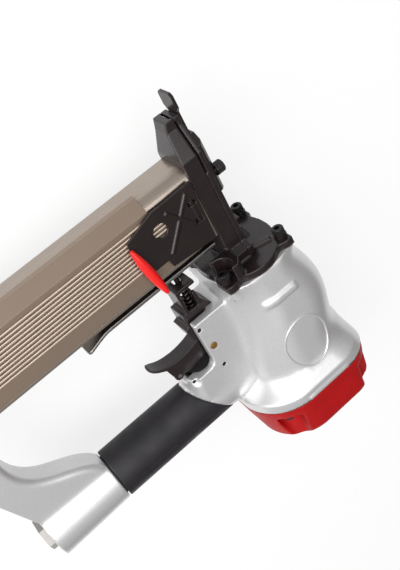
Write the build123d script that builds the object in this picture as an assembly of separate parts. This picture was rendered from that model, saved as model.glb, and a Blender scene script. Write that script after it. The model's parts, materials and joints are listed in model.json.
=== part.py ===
"""Pneumatic stapler, in the pieces it comes apart into.

The pieces are drawn upright, in millimetres: X runs forward from the grip, Y to the tool's left
and Z up the drive line, from the centre of the nose's end face to the cap. The finished tool is
laid on its right side, the way it rests on a bench, with its left side up.
"""
import os
from math import atan2, cos, degrees, hypot, radians, sin, tan

from build123d import *

# Clearances between pieces
slide_gap = 0.3
loose_gap = 0.5
pin_gap = 0.05
hole_gap = 0.15
# How far a cut runs past a face, or a joined shape sinks into its neighbour.
overlap = 1.0
# Half width of a slab that spans the whole tool.
far = 99.0
# Room past a screw's end, and shares of a socket head for its chamfer and its socket.
screw_spare = 2.0
head_chamfer_share = 0.08
socket_share = 0.55

# Drive line
piston_head_room = 0.3
blade_width = 12.4
blade_thickness = 1.5
blade_gap = 0.1
blade_root = 9.0
piston_gap = 0.05
piston_height = 14.0
piston_pocket_radius = 16.0
piston_pocket_depth = 4.0
piston_ring_section = 0.8
driver_pin_radius = 2.0
driver_pin_length = 20.0
bumper_height = 14.2
bumper_hole_radius = 7.8
cylinder_bore = 22.0
cylinder_wall = 2.5
seal_section = 0.9

# Nose
nose_tip_half_width = 8.0
nose_half_width = 16.0
nose_tip_depth = 5.7
nose_depth = 11.0
nose_straight = 7.0
nose_rear_lean = 2.0
nose_flare_top = 27.0
nose_foot_half_width = 17.0
nose_left_foot = 21.5
nose_foot_height = 7.0
front_plate_thickness = 4.35
relief_depth = 2.5
relief_width = 1.2
relief_low_z = 3.0
relief_high_z = 43.0

# Base flange and its screws
flange_z = 115.0
flange_thickness = 5.2
flange_half_length = 29.4
flange_limit = 29.8
flange_half_width = 38.0
flange_lobe_radius = 9.0
flange_blend = 5.0
gasket_thickness = 0.8
screw_radius = 2.5
screw_head_radius = 4.25
screw_head_height = 5.0
base_screw_x = 25.4
base_screw_y = 25.2
base_screw_grip = 11.6
flat_washer_radius = 5.0
flat_washer_thickness = 1.0
spring_washer_radius = 4.6
spring_washer_thickness = 1.4
pad_height = 12.5
pad_pocket_radius = 9.8
pad_rear_reach = 0.6
pad_sink = (1.0, 3.0)
pad_front_corner = (4.0, 5.0)
pad_rear_corner = 6.0
web_thickness = 2.0
web_height = 3.0
web_inset = 6.0

# Head casting
head_height = 114.2
head_wall = 5.0
head_shoulder_height = 11.0
head_swell_height = 30.0
head_mid_height = 60.0
head_lobe_height = 24.0
head_lobe_lean = 0.8
head_lobe_fade = 0.5
head_rim_band = 8.7
head_floor = 14.0
head_mid_front = 44.0
head_mid_rear = 33.2
head_mid_half_width = 42.0
head_swell_front = 41.2
head_swell_rear = 29.5
head_swell_half_width = 40.0
head_shoulder_front = 33.3
head_shoulder_rear = 30.0
head_shoulder_half_width = 38.0
head_neck_front = 43.7
head_neck_rear = 36.9
head_neck_half_width = 43.5
head_neck_corner = 33.0
head_corners = [16.0, 26.0, 29.0, 31.0, head_neck_corner]
head_foot_inset = 1.0
head_lobe_inset = 0.6
land_thickness = 8.0
land_drop = 12.0
air_hole_radius = 3.5
air_hole_count = 8
air_hole_circle = 30.0
rim_front = 48.5
rim_rear = 55.8
rim_half_width = 51.0
rim_front_corner = 28.0
rim_rear_corner = 40.0
flare_height = 14.5
# Share of the flare's height, then how far its front and its sides have spread by then.
flare_shares = [(0.0, 0.0, 0.0), (0.35, 0.1, 0.22), (0.7, 0.28, 0.6), (1.0, 0.46, 1.0)]
rim_lip_length = 38.5
rim_lip_height = 3.0
rim_lip_depth = 0.8
bar_length = 28.0
bar_height = 5.0
bar_z = 146.0
bar_depth = 1.6

# Cap
cap_height = 40.0
cap_inset = 0.5
cap_top_inset = 4.5
cap_rear_taper = 3.3
cap_flat_taper = 3.5
cap_edge_radius = 9.0
cap_flange_height = 9.5
cap_screw_offset = 35.3
cap_screw_grip = 6.5
cap_pocket_radius = 8.7
cap_pocket_x = 36.8
cap_pocket_y = 35.8
cap_pocket_tilt = 15.0
cap_gasket_bore = 34.0
valve_chamber_radius = 29.0
valve_chamber_depth = 21.0
head_valve_height = 9.5
head_valve_gap = 0.1
head_valve_hole = 5.0
head_spring_radius = 18.0
head_spring_wire = 1.0
head_spring_turns = 3
exhaust_radius = 17.0
exhaust_height = 7.0
exhaust_wall = 2.5
exhaust_seat = 1.8
exhaust_hub_wall = 1.0
exhaust_hole_radius = 3.5
exhaust_hole_circle = 9.5
exhaust_hole_count = 4

# Handle
handle_z = 208.5
grip_half_width = 18.0
grip_half_height = 21.5
grip_thickness = 3.5
handle_wall = 4.0
handle_front_x = -28.0
handle_end_wall = 12.0
thread_wall = 1.0
grip_front_low_x = -88.0
grip_front_high_x = -59.0
grip_rear_x = -163.5

# Trigger housing under the handle's root
housing_half_width = 17.0
housing_front_x = -30.0
housing_low_z = 135.5
housing_rear_x = -59.5
housing_ceiling_z = 175.5
housing_slot_half_width = 10.0
housing_slot_front_x = -43.0
housing_corner = 4.0
housing_tail_x = -72.0
housing_tail_rise = 1.5
housing_tail_top = 24.5
# Rear end of the housing's tail and length of its rounding, below and above.
housing_tail_low = (-83.0, 7.0)
housing_tail_high = (-88.0, 12.0)
spot_face_radius = 3.2
spot_face_y = 13.0
roll_pin_radius = 1.5
bracket_pin = (-57.3, 141.2)
valve_pins = [(-54.2, 181.3), (-78.8, 179.3)]
trigger_pin = (-53.6, 160.9)
trigger_pin_radius = 2.5

# Trigger and its valve
contact_pin = (-84.4, 171.4)
contact_pin_radius = 1.6
trigger_half_width = 6.5
trigger_wall = 2.0
trigger_boss_radius = 3.8
trigger_boss_angles = (195, 110, 25)
trigger_ear_radius = 4.6
trigger_ear_set = 2.0
trigger_hollow_margin = 1.2
trigger_web = 2.2
trigger_finger = [(-59.0, 155.2), (-75.0, 158.9), (-88.0, 157.8), (-95.0, 154.9), (-99.6, 151.4)]
trigger_tip = [(-101.0, 151.6), (-101.2, 153.2)]
trigger_back = [(-97.0, 155.8), (-90.5, 160.0)]
trigger_cheek = [(-69.5, 173.9), (-57.5, 169.0)]
trigger_tip_corner = 5.5
trigger_room_z = 181.0
contact_lever_front = (-46.0, 164.7)
contact_lever_thickness = 2.4
contact_lever_half_width = 3.6
contact_knuckle_radius = 2.8
valve_x = -66.0
valve_low_z = 177.4
valve_radius = 11.0
valve_groove_radius = 9.7
valve_height = 24.0
valve_chamber_bore = 6.0
valve_top_bore = 3.0
valve_top_wall = 2.0
valve_groove_share = 1.2
stem_radius = 2.5
stem_head_radius = 5.0
stem_head_height = 4.0
stem_head_z = 185.5
stem_tip_z = 174.0
valve_spring_radius = 4.0
valve_spring_wire = 0.5
valve_spring_turns = 5

# Contact trip
trip_travel = 13.5
trip_reach = 14.5
trip_thickness = 2.2
trip_tip_half_width = 8.0
trip_tip_corner = 2.0
trip_tip_length = 11.0
trip_neck_length = 4.0
trip_stem_half_width = 5.2
trip_arm_z = 95.5
trip_arm_height = 5.0
trip_arm_thickness = 2.2
trip_arm_half_width = 2.4
trip_arm_inset = 1.0
trip_rivet_radius = 1.5
trip_rivet_y = 2.4
plunger_radius = 2.0
plunger_top = 156.5
collar_radius = 4.3
collar_thickness = 2.0
trip_spring_radius = 3.8
trip_spring_wire = 0.6
trip_spring_turns = 6
trip_cover_low_z = 17.0
trip_cover_high_z = 62.0
trip_cover_half_width = 14.0
trip_cover_thickness = 1.6
trip_cover_bevel = 2.4
trip_cover_margin = 2.0
trip_bolt_y = 10.4
trip_bolt_z = 48.0
plate_bolt_z = 105.0
bolt_bite = 8.0

# Trip bracket
bracket_x = -48.5
bracket_leg_x = -57.0
bracket_leg_thickness = 2.5
bracket_foot_thickness = 3.0
bracket_foot_x = -40.5
bracket_post_z = 117.0
bracket_shoulder_z = 129.0
bracket_post_x = -43.6
bracket_flare_low = (1.0, 3.0)
bracket_flare_reach = 7.0
bracket_rear = [(-60.5, 128.5), (-60.5, 139.5), (-64.2, 140.8), (-62.0, 153.0)]
bracket_half_width = 9.0
bracket_low_z = 108.5
bracket_high_z = 153.0
bracket_ceiling_z = 137.0
bracket_cavity = 5.2
bracket_cavity_half_width = 6.2

# Magazine
magazine_low_z = 30.4
magazine_high_z = 88.4
magazine_half_width = 14.4
magazine_rear_x = -262.0
magazine_corner = 12.0
rail_edge = 2.0
channel_half_width = 6.5
channel_low_z = 34.0
channel_high_z = 86.0
hollow_low_z = 40.0
hollow_high_z = 80.0
hollow_front_x = -30.0
hollow_wall = 1.5
tongue_length = 13.0
tongue_thickness = 4.0
tongue_y = -10.0
tongue_low_z = 42.0
tongue_high_z = 78.0
magazine_screw_inset = 8.0
small_screw_radius = 2.0
small_head_radius = 3.5
small_head_height = 3.0
end_cap_thickness = 4.0
end_screw_bite = 10.0
end_head_radius = 2.8
cover_skin = 1.3
cover_bevel = 8.6
cover_lip_y = 3.0
cover_front_x = -38.0
cover_lip_front_x = -46.5
cover_corner_z = 39.5
cover_end_gap = 4.0
cover_box_low_z = 36.5
cover_box_high_z = 83.0
cover_high_z = 84.6
bead = 1.4
bead_height = 1.3
rib_count = 11
rib_low_z = 42.0
rib_high_z = 71.5
rib_width = 1.5
rib_height = 0.8
pusher_length = 26.0
pusher_front_x = -13.0
band_roll_radius = 8.0
band_drum_radius = 4.0
band_half_width = 4.4

# Latch plate over the magazine's front
latch_lift = 0.4
latch_thickness = 1.5
latch_hinge_x = -18.3
latch_hinge_y = 16.2
latch_hinge_low_z = 53.0
latch_hinge_high_z = 64.0
latch_lug_height = 3.0
latch_lug_radius = 2.4
latch_pin_radius = 1.2
latch_knuckle_radius = 2.9
latch_bridge = 1.0
latch_front = [(-14.0, 86.4), (-12.3, 37.0), (-46.0, 38.0), (-69.0, 45.4)]
latch_edge_low = (-69.6, 50.5)
latch_edge_high = (-63.0, 94.0)
latch_step = (-50.5, 76.4)
latch_heel = (-49.5, 82.9)
latch_window = (-45.7, 53.5)
latch_window_radius = 5.2
latch_rib_lines = [((-19.2, 42.7), (-46.3, 73.9)), ((-37.5, 45.2), (-22.5, 66.5))]
latch_rib_width = 2.2
latch_rib_height = 0.9
latch_grip_radius = 3.6
latch_grip_end_radius = 1.4
latch_roll_radius = 2.4
latch_roll_share = 0.7
latch_spring_x = -14.6
latch_spring_z = 45.0
latch_spring_radius = 1.7
latch_spring_wire = 0.35
latch_spring_turns = 5
latch_spring_seat = 4.0

# Release lever over the magazine
lever_lift = 3.2
lever_thickness = 2.4
lever_half_width = 14.4
lever_inner_y = -9.0
lever_pivot_x = -19.0
lever_front_x = -15.5
lever_rear_x = -128.0
lever_tip_length = 22.0
lever_tip_radius = 32.0
lever_tip_turn = 18.0
lever_tip_corner = 3.0
lever_pin_radius = 1.5
lever_ear_radius = 3.2
lever_ear_thickness = 2.0
lever_lug_half_width = 3.0

# Tail and air inlet
tail_rear_x = -224.0
tail_growth = 1.5
tail_half_width = 11.0
tail_round = 5.0
tail_knee = 20.0
tail_leg_rise = 2.0
# Bends of the leg's front: back from the tail's front or forward of the foot, then down.
tail_bend_high = (17.0, 15.0)
tail_bend_low = (14.0, 28.0)
tail_leg_tangents = [(-0.5, -1), (0, -1)]
tail_seat = 12.0
foot_front_x = -216.0
foot_rear_x = -250.0
foot_height = 15.0
tail_screw_y = 8.5
tail_screw_z = 10.5
inlet_radius = 5.9
inlet_length = 15.0
inlet_clearance = 20.0
inlet_body_radius = 10.5
inlet_flange_radius = 13.0
inlet_flange_thickness = 5.0
air_passage_radius = 5.0
hanger_tongue_half_width = 4.0
hanger_tongue_height = 13.0
hanger_bolt_spread = 16.0
hanger_bolt_z = 8.0
nut_radius = 4.6
nut_height = 4.0

# Places that follow from the sizes above
split_x = blade_thickness / 2 + blade_gap
blade_slot_half_width = blade_width / 2 + blade_gap
nose_rear_x = -nose_depth
front_plate_x = split_x + front_plate_thickness
trip_x = front_plate_x + slide_gap
trip_front_x = trip_x + trip_thickness
trip_cover_front_x = trip_front_x + slide_gap + trip_cover_thickness
trip_arm_front_x = front_plate_x + screw_head_height + slide_gap
trip_arm_y = nose_foot_half_width + loose_gap
trip_arm_top = trip_arm_z + trip_arm_height
collar_z = bracket_low_z + bracket_foot_thickness + slide_gap
plate_bolt_y = trip_stem_half_width + screw_head_radius + loose_gap
flange_top = flange_z + flange_thickness
base_z = flange_top + gasket_thickness
bumper_top = flange_top + bumper_height
piston_radius = cylinder_bore - piston_gap
rim_z = base_z + head_height
piston_z = rim_z - piston_height - piston_head_room
drive_stroke = piston_z - bumper_top - loose_gap
cap_z = rim_z + gasket_thickness
cap_top = cap_z + cap_height
cap_flange_top = cap_z + cap_flange_height
cylinder_radius = cylinder_bore + cylinder_wall
core_half_width = grip_half_width - grip_thickness
core_half_height = grip_half_height - grip_thickness
handle_low_z = handle_z - grip_half_height
handle_high_z = handle_z + grip_half_height
tail_front_x = grip_rear_x - gasket_thickness
tail_seat_x = tail_front_x - tail_seat
washer_stack = flat_washer_thickness + spring_washer_thickness
head_neck_height = head_height - flare_height - head_rim_band
land_z = base_z + head_neck_height - land_drop
cover_half_width = magazine_half_width + slide_gap + cover_skin
cover_low_z = magazine_low_z - slide_gap - cover_skin
latch_y = cover_half_width + rib_height + latch_lift
latch_outer_y = latch_y + latch_thickness
lever_z = magazine_high_z + lever_lift
lever_top = lever_z + lever_thickness
lever_pivot_z = lever_top + lever_pin_radius
foot_low_z = magazine_high_z + slide_gap
hanger_bolts_x = [(foot_front_x + foot_rear_x + side * hanger_bolt_spread) / 2 for side in (-1, 1)]
CORNERS = [(-1, -1), (-1, 1), (1, -1), (1, 1)]
base_screw_places = [(a * base_screw_x, b * base_screw_y) for a, b in CORNERS]
cap_screw_places = [(a * cap_screw_offset, b * cap_screw_offset) for a, b in CORNERS]
cap_pocket_places = [(a * cap_pocket_x, b * cap_pocket_y) for a, b in CORNERS]
tail_screw_places = [(a * tail_screw_y, handle_z + b * tail_screw_z) for a, b in CORNERS]

# The upright tool laid on its right side
LAID = Plane(origin=(0, 0, 0), x_dir=(-1, 0, 0), z_dir=(0, 1, 0)).location


# Shapes that repeat


def block(x, y, z):
    """Box between a pair of limits on each axis."""
    middle = Pos((x[0] + x[1]) / 2, (y[0] + y[1]) / 2, (z[0] + z[1]) / 2)
    return middle * Box(x[1] - x[0], y[1] - y[0], z[1] - z[0])


def rod_x(x, y, z, radius):
    """Round bar along X between the pair of limits x."""
    return Pos((x[0] + x[1]) / 2, y, z) * Rot(0, 90, 0) * Cylinder(radius, x[1] - x[0])


def rod_y(x, y, z, radius):
    """Round bar along Y between the pair of limits y."""
    return Pos(x, (y[0] + y[1]) / 2, z) * Rot(90, 0, 0) * Cylinder(radius, y[1] - y[0])


def rod_z(x, y, z, radius):
    """Round bar along Z between the pair of limits z."""
    return Pos(x, y, (z[0] + z[1]) / 2) * Cylinder(radius, z[1] - z[0])


def side_plate(outline, y):
    """Plate across Y between the pair of limits y, cut to an outline of (x, z) points."""
    face = make_face(Polyline(*outline, close=True))
    return Pos(0, y[1], 0) * extrude(Plane.XZ * face, y[1] - y[0])


def cross_plate(outline, x):
    """Plate across X between the pair of limits x, cut to an outline of (y, z) points."""
    face = make_face(Polyline(*outline, close=True))
    return Pos(x[0], 0, 0) * extrude(Plane.YZ * face, x[1] - x[0])


def oval_bar(x, half_width, half_height):
    """Oval bar along the handle's line between the pair of limits x."""
    return Pos(x[0], 0, handle_z) * extrude(Plane.YZ * Ellipse(half_width, half_height), x[1] - x[0])


def ring(outer, inner, z):
    """Washer about the drive line between the pair of limits z."""
    return rod_z(0, 0, z, outer) - rod_z(0, 0, z, inner)


def bar_between(start, end, width, y):
    """Straight rib on a side face, from start to end in (x, z), between the pair of limits y."""
    run, rise = end[0] - start[0], end[1] - start[1]
    middle = Pos((start[0] + end[0]) / 2, (y[0] + y[1]) / 2, (start[1] + end[1]) / 2)
    return middle * Rot(0, -degrees(atan2(rise, run)), 0) * Box(hypot(run, rise), y[1] - y[0], width)


def socket_screw(radius, length, head_radius, head_height):
    """Socket head screw along +Z with the head's underside at zero."""
    head = rod_z(0, 0, (-head_height, 0), head_radius)
    head = chamfer(head.faces().sort_by(Axis.Z)[0].edges(), head_height * head_chamfer_share)
    hexagon = RegularPolygon(head_radius * socket_share, 6)
    socket = Pos(0, 0, -head_height) * extrude(hexagon, head_height * socket_share)
    return head - socket + rod_z(0, 0, (0, length), radius)


def coil(radius, wire, length, turns):
    """Compression spring along +Z, with its ends at zero and at its length."""
    height = length - 2 * wire
    path = Helix(height / turns, height, radius)
    section = Plane(origin=path @ 0, z_dir=path % 0) * Circle(wire)
    return Pos(0, 0, wire) * sweep(section, path=path, is_frenet=True)


def group(pieces):
    """Identical pieces kept as separate solids."""
    return Compound(children=list(pieces))


# Head casting and handle


def barrel_section(height, front, rear, half_width, corner):
    """Rounded section across the head, at a height over its base."""
    middle = Pos((front - rear) / 2, 0, base_z + height)
    return middle * RectangleRounded(front + rear, 2 * half_width, corner)


def barrel(inset):
    """The head's outer form, or the same form brought in by a wall."""
    foot_reach = flange_half_length - head_foot_inset
    base = (foot_reach, foot_reach, flange_half_width - 1.5 * head_foot_inset)
    shoulder = (head_shoulder_front, head_shoulder_rear, head_shoulder_half_width)
    swell = (head_swell_front, head_swell_rear, head_swell_half_width)
    mid = (head_mid_front, head_mid_rear, head_mid_half_width)
    neck = (head_neck_front, head_neck_rear, head_neck_half_width)
    heights = [0, head_shoulder_height, head_swell_height, head_mid_height, head_neck_height]
    rows = zip(heights, [base, shoulder, swell, mid, neck], head_corners)
    return loft([barrel_section(h, *[r - inset for r in reach], c - inset / 2) for h, reach, c in rows])


def mouth_section(z, front, rear, half_width, front_corner, rear_corner):
    """Section across the head's mouth or the cap, rounder behind than in front."""
    face = Rectangle(front + rear, 2 * half_width)
    face = fillet(face.vertices().group_by(Axis.X)[-1], front_corner)
    face = fillet(face.vertices().group_by(Axis.X)[0], rear_corner)
    return Pos((front - rear) / 2, 0, z) * face


def rim_section(z, inset):
    """Outline of the rim at a height, brought in by an inset."""
    reach = [size - inset for size in (rim_front, rim_rear, rim_half_width)]
    return mouth_section(z, *reach, rim_front_corner, rim_rear_corner)


def flare():
    """The head's mouth, spreading from the neck to the rim's band and on to the rim."""
    neck = (head_neck_front, head_neck_rear, head_neck_half_width, head_neck_corner, head_neck_corner)
    rim = (rim_front, rim_rear, rim_half_width, rim_front_corner, rim_rear_corner)
    neck_z = base_z + head_neck_height
    rows = []
    for height_share, front_spread, side_spread in flare_shares:
        spreads = [front_spread, side_spread, side_spread, front_spread, side_spread]
        reach = [low + (high - low) * spread for low, high, spread in zip(neck, rim, spreads)]
        rows.append(mouth_section(neck_z + flare_height * height_share, *reach))
    return loft(rows) + loft([rows[-1], rim_section(rim_z, 0)], ruled=True)


def grip_parting(forward):
    """Solid on the forward or rear side of the slanted line where the rubber grip starts."""
    spare = grip_half_height / 2
    slope = (grip_front_high_x - grip_front_low_x) / (2 * grip_half_height)
    low = (grip_front_low_x - slope * spare, handle_low_z - spare)
    high = (grip_front_high_x + slope * spare, handle_high_z + spare)
    far_x = 0 if forward else grip_rear_x
    outline = [low, high, (far_x, high[1]), (far_x, low[1])]
    return side_plate(outline, (-2 * grip_half_width, 2 * grip_half_width))


def trigger_housing():
    """Two cheeks under the handle's root, joined by a ceiling, and the slot between them."""
    outline = [
        (housing_front_x, housing_low_z),
        (housing_rear_x, housing_low_z),
        (housing_rear_x, housing_ceiling_z),
        (housing_tail_x, housing_ceiling_z + housing_tail_rise),
        (housing_tail_x, handle_z),
        (housing_front_x, handle_z),
    ]
    housing = side_plate(outline, (-housing_half_width, housing_half_width))
    inner_corner = (housing_rear_x, 0, housing_ceiling_z)
    edge = housing.edges().filter_by(Axis.Y).sort_by_distance(inner_corner)[0]
    housing = fillet(edge, housing_corner)
    slot_y = (-housing_slot_half_width, housing_slot_half_width)
    slot_z = (housing_low_z - overlap, housing_ceiling_z)
    slot = block((housing_rear_x - overlap, housing_slot_front_x), slot_y, slot_z)
    room_y = (-trigger_half_width - loose_gap, trigger_half_width + loose_gap)
    room_x = (contact_pin[0] - 2 * trigger_boss_radius, valve_x)
    slot += block(room_x, room_y, (housing_ceiling_z - overlap, trigger_room_z))
    return housing, slot


def tail_plan(z, end):
    """Plan of the housing's tail at a height, with a rounded rear end."""
    end_x, reach = end
    middle = end_x + reach
    front_x = housing_slot_front_x
    straight = Pos((middle + front_x) / 2, 0, z) * Rectangle(front_x - middle, 2 * housing_half_width)
    return Pos(middle, 0, z) * Ellipse(reach, housing_half_width) + straight


def housing_tail():
    """Rounded end of the housing under the handle's root, which spreads as it rises."""
    low_z = housing_ceiling_z + housing_tail_rise
    low = tail_plan(low_z, housing_tail_low)
    return loft([low, tail_plan(low_z - housing_tail_rise + housing_tail_top, housing_tail_high)])


def head_cavity():
    """Air reservoir round the cylinder, open at the rim."""
    low = base_z + head_floor
    high = base_z + head_neck_height
    inner = barrel(head_wall) & block((-far, far), (-far, far), (low, high))
    neck = [reach - head_wall for reach in (head_neck_front, head_neck_rear, head_neck_half_width)]
    mouth = barrel_section(head_neck_height, *neck, head_neck_corner - head_wall / 2)
    return inner + extrude(mouth, rim_z - high)


def cylinder_land():
    """Web inside the head that steadies the cylinder's upper end, with air holes through it."""
    reach = [r - head_wall / 2 for r in (head_neck_front, head_neck_rear, head_neck_half_width)]
    land = extrude(barrel_section(land_z - base_z, *reach, head_neck_corner - head_wall), land_thickness)
    for index in range(air_hole_count):
        turn = radians(360 * index / air_hole_count)
        place = (air_hole_circle * cos(turn), air_hole_circle * sin(turn))
        land -= rod_z(*place, (land_z - overlap, land_z + land_thickness + overlap), air_hole_radius)
    return land & barrel(head_wall / 2)


def head_lobes():
    """Lobes on the head's foot that take the base screws and fade into the head as they rise."""
    span = (base_z, base_z + head_lobe_height)
    foot = flange_lobe_radius - head_lobe_inset
    limit = flange_limit - head_lobe_inset
    room = block((-limit, limit), (-2 * flange_half_width, 2 * flange_half_width), span)
    lobes = []
    for x, y in base_screw_places:
        low = Pos(x, y, span[0]) * Circle(foot)
        high = Pos(x * head_lobe_lean, y * head_lobe_lean, span[1]) * Circle(foot * head_lobe_fade)
        lobes.append(loft([low, high]) & room)
    return lobes


def main_body():
    """Head, trigger housing and handle core in one casting."""
    half_lip = rim_lip_length / 2
    lip = block((-half_lip, half_lip), (0, rim_half_width + rim_lip_depth), (rim_z - rim_lip_height, rim_z))
    bar_span = (bar_z - bar_height / 2, bar_z + bar_height / 2)
    bar = block((-bar_length / 2, bar_length / 2), (0, 2 * head_mid_half_width), bar_span)
    housing, housing_slot = trigger_housing()
    root_x = (grip_front_low_x - grip_half_height, handle_front_x)
    root = oval_bar(root_x, grip_half_width, grip_half_height)
    core = oval_bar((grip_rear_x, handle_front_x), core_half_width, core_half_height)
    body = barrel(0) + flare() + lip + (bar & barrel(-bar_depth))
    for lobe in head_lobes():
        body += lobe
    body += ((root + housing_tail()) & grip_parting(True)) + (housing - grip_sleeve()) + core
    body -= head_cavity()
    body += cylinder_land()
    body -= rod_z(0, 0, (base_z - overlap, rim_z + overlap), cylinder_radius + hole_gap)
    air_x = (grip_rear_x + handle_end_wall, -head_neck_rear + head_wall + overlap)
    body -= oval_bar(air_x, core_half_width - handle_wall, core_half_height - handle_wall)
    body -= rod_x((grip_rear_x - overlap, air_x[0] + overlap), 0, handle_z, air_passage_radius)
    body -= housing_slot
    body -= rod_z(valve_x, 0, (housing_ceiling_z - overlap, handle_z), valve_radius + hole_gap)
    across = (-housing_half_width - overlap, housing_half_width + overlap)
    body -= rod_y(trigger_pin[0], across, trigger_pin[1], trigger_pin_radius)
    for x, z in [bracket_pin, *valve_pins]:
        body -= rod_y(x, across, z, roll_pin_radius)
    for side in (-1, 1):
        seat_y = sorted((side * spot_face_y, side * (housing_half_width + overlap)))
        body -= rod_y(valve_pins[1][0], seat_y, valve_pins[1][1], spot_face_radius)
    for x, y in base_screw_places:
        body -= rod_z(x, y, (base_z - overlap, base_z + base_screw_grip + overlap), screw_radius + hole_gap)
    for x, y in cap_screw_places:
        body -= rod_z(x, y, (rim_z - cap_screw_grip - loose_gap, rim_z + overlap), screw_radius + hole_gap)
    for y, z in tail_screw_places:
        body -= rod_x((grip_rear_x - overlap, air_x[0] - thread_wall), y, z, small_screw_radius + hole_gap)
    return body


def grip_sleeve():
    """Rubber grip over the handle core."""
    span = (grip_rear_x, handle_front_x)
    sleeve = oval_bar(span, grip_half_width, grip_half_height)
    sleeve -= oval_bar(span, core_half_width, core_half_height)
    return sleeve & grip_parting(False)


# Drive line


def cylinder_sleeve():
    """Steel cylinder with a seal groove at each end."""
    sleeve = ring(cylinder_radius, cylinder_bore, (flange_top, cap_z))
    depth = 2 * seal_section + hole_gap / 2
    for z in seal_heights():
        half = seal_section + hole_gap
        sleeve -= ring(cylinder_radius + overlap, cylinder_radius - depth, (z - half, z + half))
    return sleeve


def seal_heights():
    """Heights of the cylinder's two seals, inside the head's floor and its upper land."""
    return [base_z + head_floor / 2, land_z + land_thickness / 2]


def cylinder_seals():
    """Two O-rings between the cylinder and the head."""
    middle = cylinder_radius + hole_gap / 2 - seal_section
    return group(Pos(0, 0, z) * Torus(middle, seal_section) for z in seal_heights())


def bumper():
    """Rubber ring that stops the piston."""
    cushion = rod_z(0, 0, (flange_top, bumper_top), cylinder_bore - hole_gap)
    cushion = chamfer(cushion.faces().sort_by(Axis.Z)[-1].edges(), bumper_height / 6)
    return cushion - rod_z(0, 0, (flange_top - overlap, bumper_top + overlap), bumper_hole_radius)


def piston():
    """Piston at the top of its stroke, slotted for the blade."""
    top = piston_z + piston_height
    crown = rod_z(0, 0, (piston_z, top), piston_radius)
    crown -= rod_z(0, 0, (top - piston_pocket_depth, top + overlap), piston_pocket_radius)
    crown = crown - blade_bar(piston_z - overlap) - driver_pin()
    groove_z = piston_z + piston_height / 2
    half = piston_ring_section + hole_gap
    inner = piston_radius - 2 * piston_ring_section - pin_gap
    return crown - ring(piston_radius + overlap, inner, (groove_z - half, groove_z + half))


def piston_ring():
    """Sealing ring in the piston's groove."""
    middle = piston_radius - piston_ring_section
    return Pos(0, 0, piston_z + piston_height / 2) * Torus(middle, piston_ring_section)


def blade_bar(low_z):
    """Flat bar of the blade's section from low_z up to its root in the piston."""
    half_x = blade_thickness / 2
    half_y = blade_width / 2
    return block((-half_x, half_x), (-half_y, half_y), (low_z, piston_z + blade_root))


def driver_blade():
    """Blade that drives the staple, hanging from the piston."""
    hole = rod_x((-blade_thickness, blade_thickness), 0, piston_z + blade_root / 2, driver_pin_radius)
    return blade_bar(drive_stroke) - hole


def driver_pin():
    """Pin that holds the blade in the piston."""
    half = driver_pin_length / 2
    return rod_x((-half, half), 0, piston_z + blade_root / 2, driver_pin_radius)


# Nose


def nose_outline(inset):
    """Front view of the nose, brought in at the sides by an inset, with a wider foot on the left."""
    def side(foot):
        return [
            (nose_tip_half_width - inset, 0),
            (nose_tip_half_width - inset, nose_straight),
            (nose_half_width - inset, nose_flare_top),
            (nose_half_width - inset, flange_z - 1.5 * nose_foot_height),
            (foot - inset, flange_z - nose_foot_height),
            (foot - inset, flange_z),
        ]
    left = side(nose_left_foot)
    right = side(nose_foot_half_width)
    return left + [(-y, z) for y, z in reversed(right)]


def flange_face():
    """Outline shared by the nose base's flange and its gasket, with a lobe for each screw."""
    face = Ellipse(flange_half_length, flange_half_width)
    for x, y in base_screw_places:
        face += Pos(x, y) * Circle(flange_lobe_radius)
    face = fillet(face.vertices(), flange_blend)
    return face & Rectangle(2 * flange_limit, 4 * flange_half_width)


def screw_pad():
    """Raised pad at the nose's left rear, with a round pocket for one base screw."""
    span = flange_z - pad_height
    rear_x = -base_screw_x - pad_rear_reach
    far_y = base_screw_y + flange_lobe_radius
    outline = [
        (rear_x, nose_half_width - pad_sink[1]),
        (nose_rear_x + pad_sink[0], nose_half_width - pad_sink[1]),
        (nose_rear_x, far_y - pad_front_corner[1]),
        (nose_rear_x - pad_front_corner[0], far_y),
        (rear_x + pad_rear_corner, far_y),
    ]
    pad = Pos(0, 0, span) * extrude(make_face(Polyline(*outline, close=True)), pad_height)
    return pad - rod_z(-base_screw_x, base_screw_y, (span - overlap, flange_z), pad_pocket_radius)


def flange_web():
    """Low web on the flange from the nose's foot towards the left front screw."""
    start = (front_plate_x, nose_left_foot - web_inset)
    end = (base_screw_x - screw_head_radius, base_screw_y - screw_head_radius)
    run, rise = end[0] - start[0], end[1] - start[1]
    middle = Pos((start[0] + end[0]) / 2, (start[1] + end[1]) / 2, flange_z - web_height / 2)
    bar = Box(hypot(run, rise) - web_thickness, web_thickness, web_height)
    return middle * Rot(0, 0, degrees(atan2(rise, run))) * bar


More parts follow.
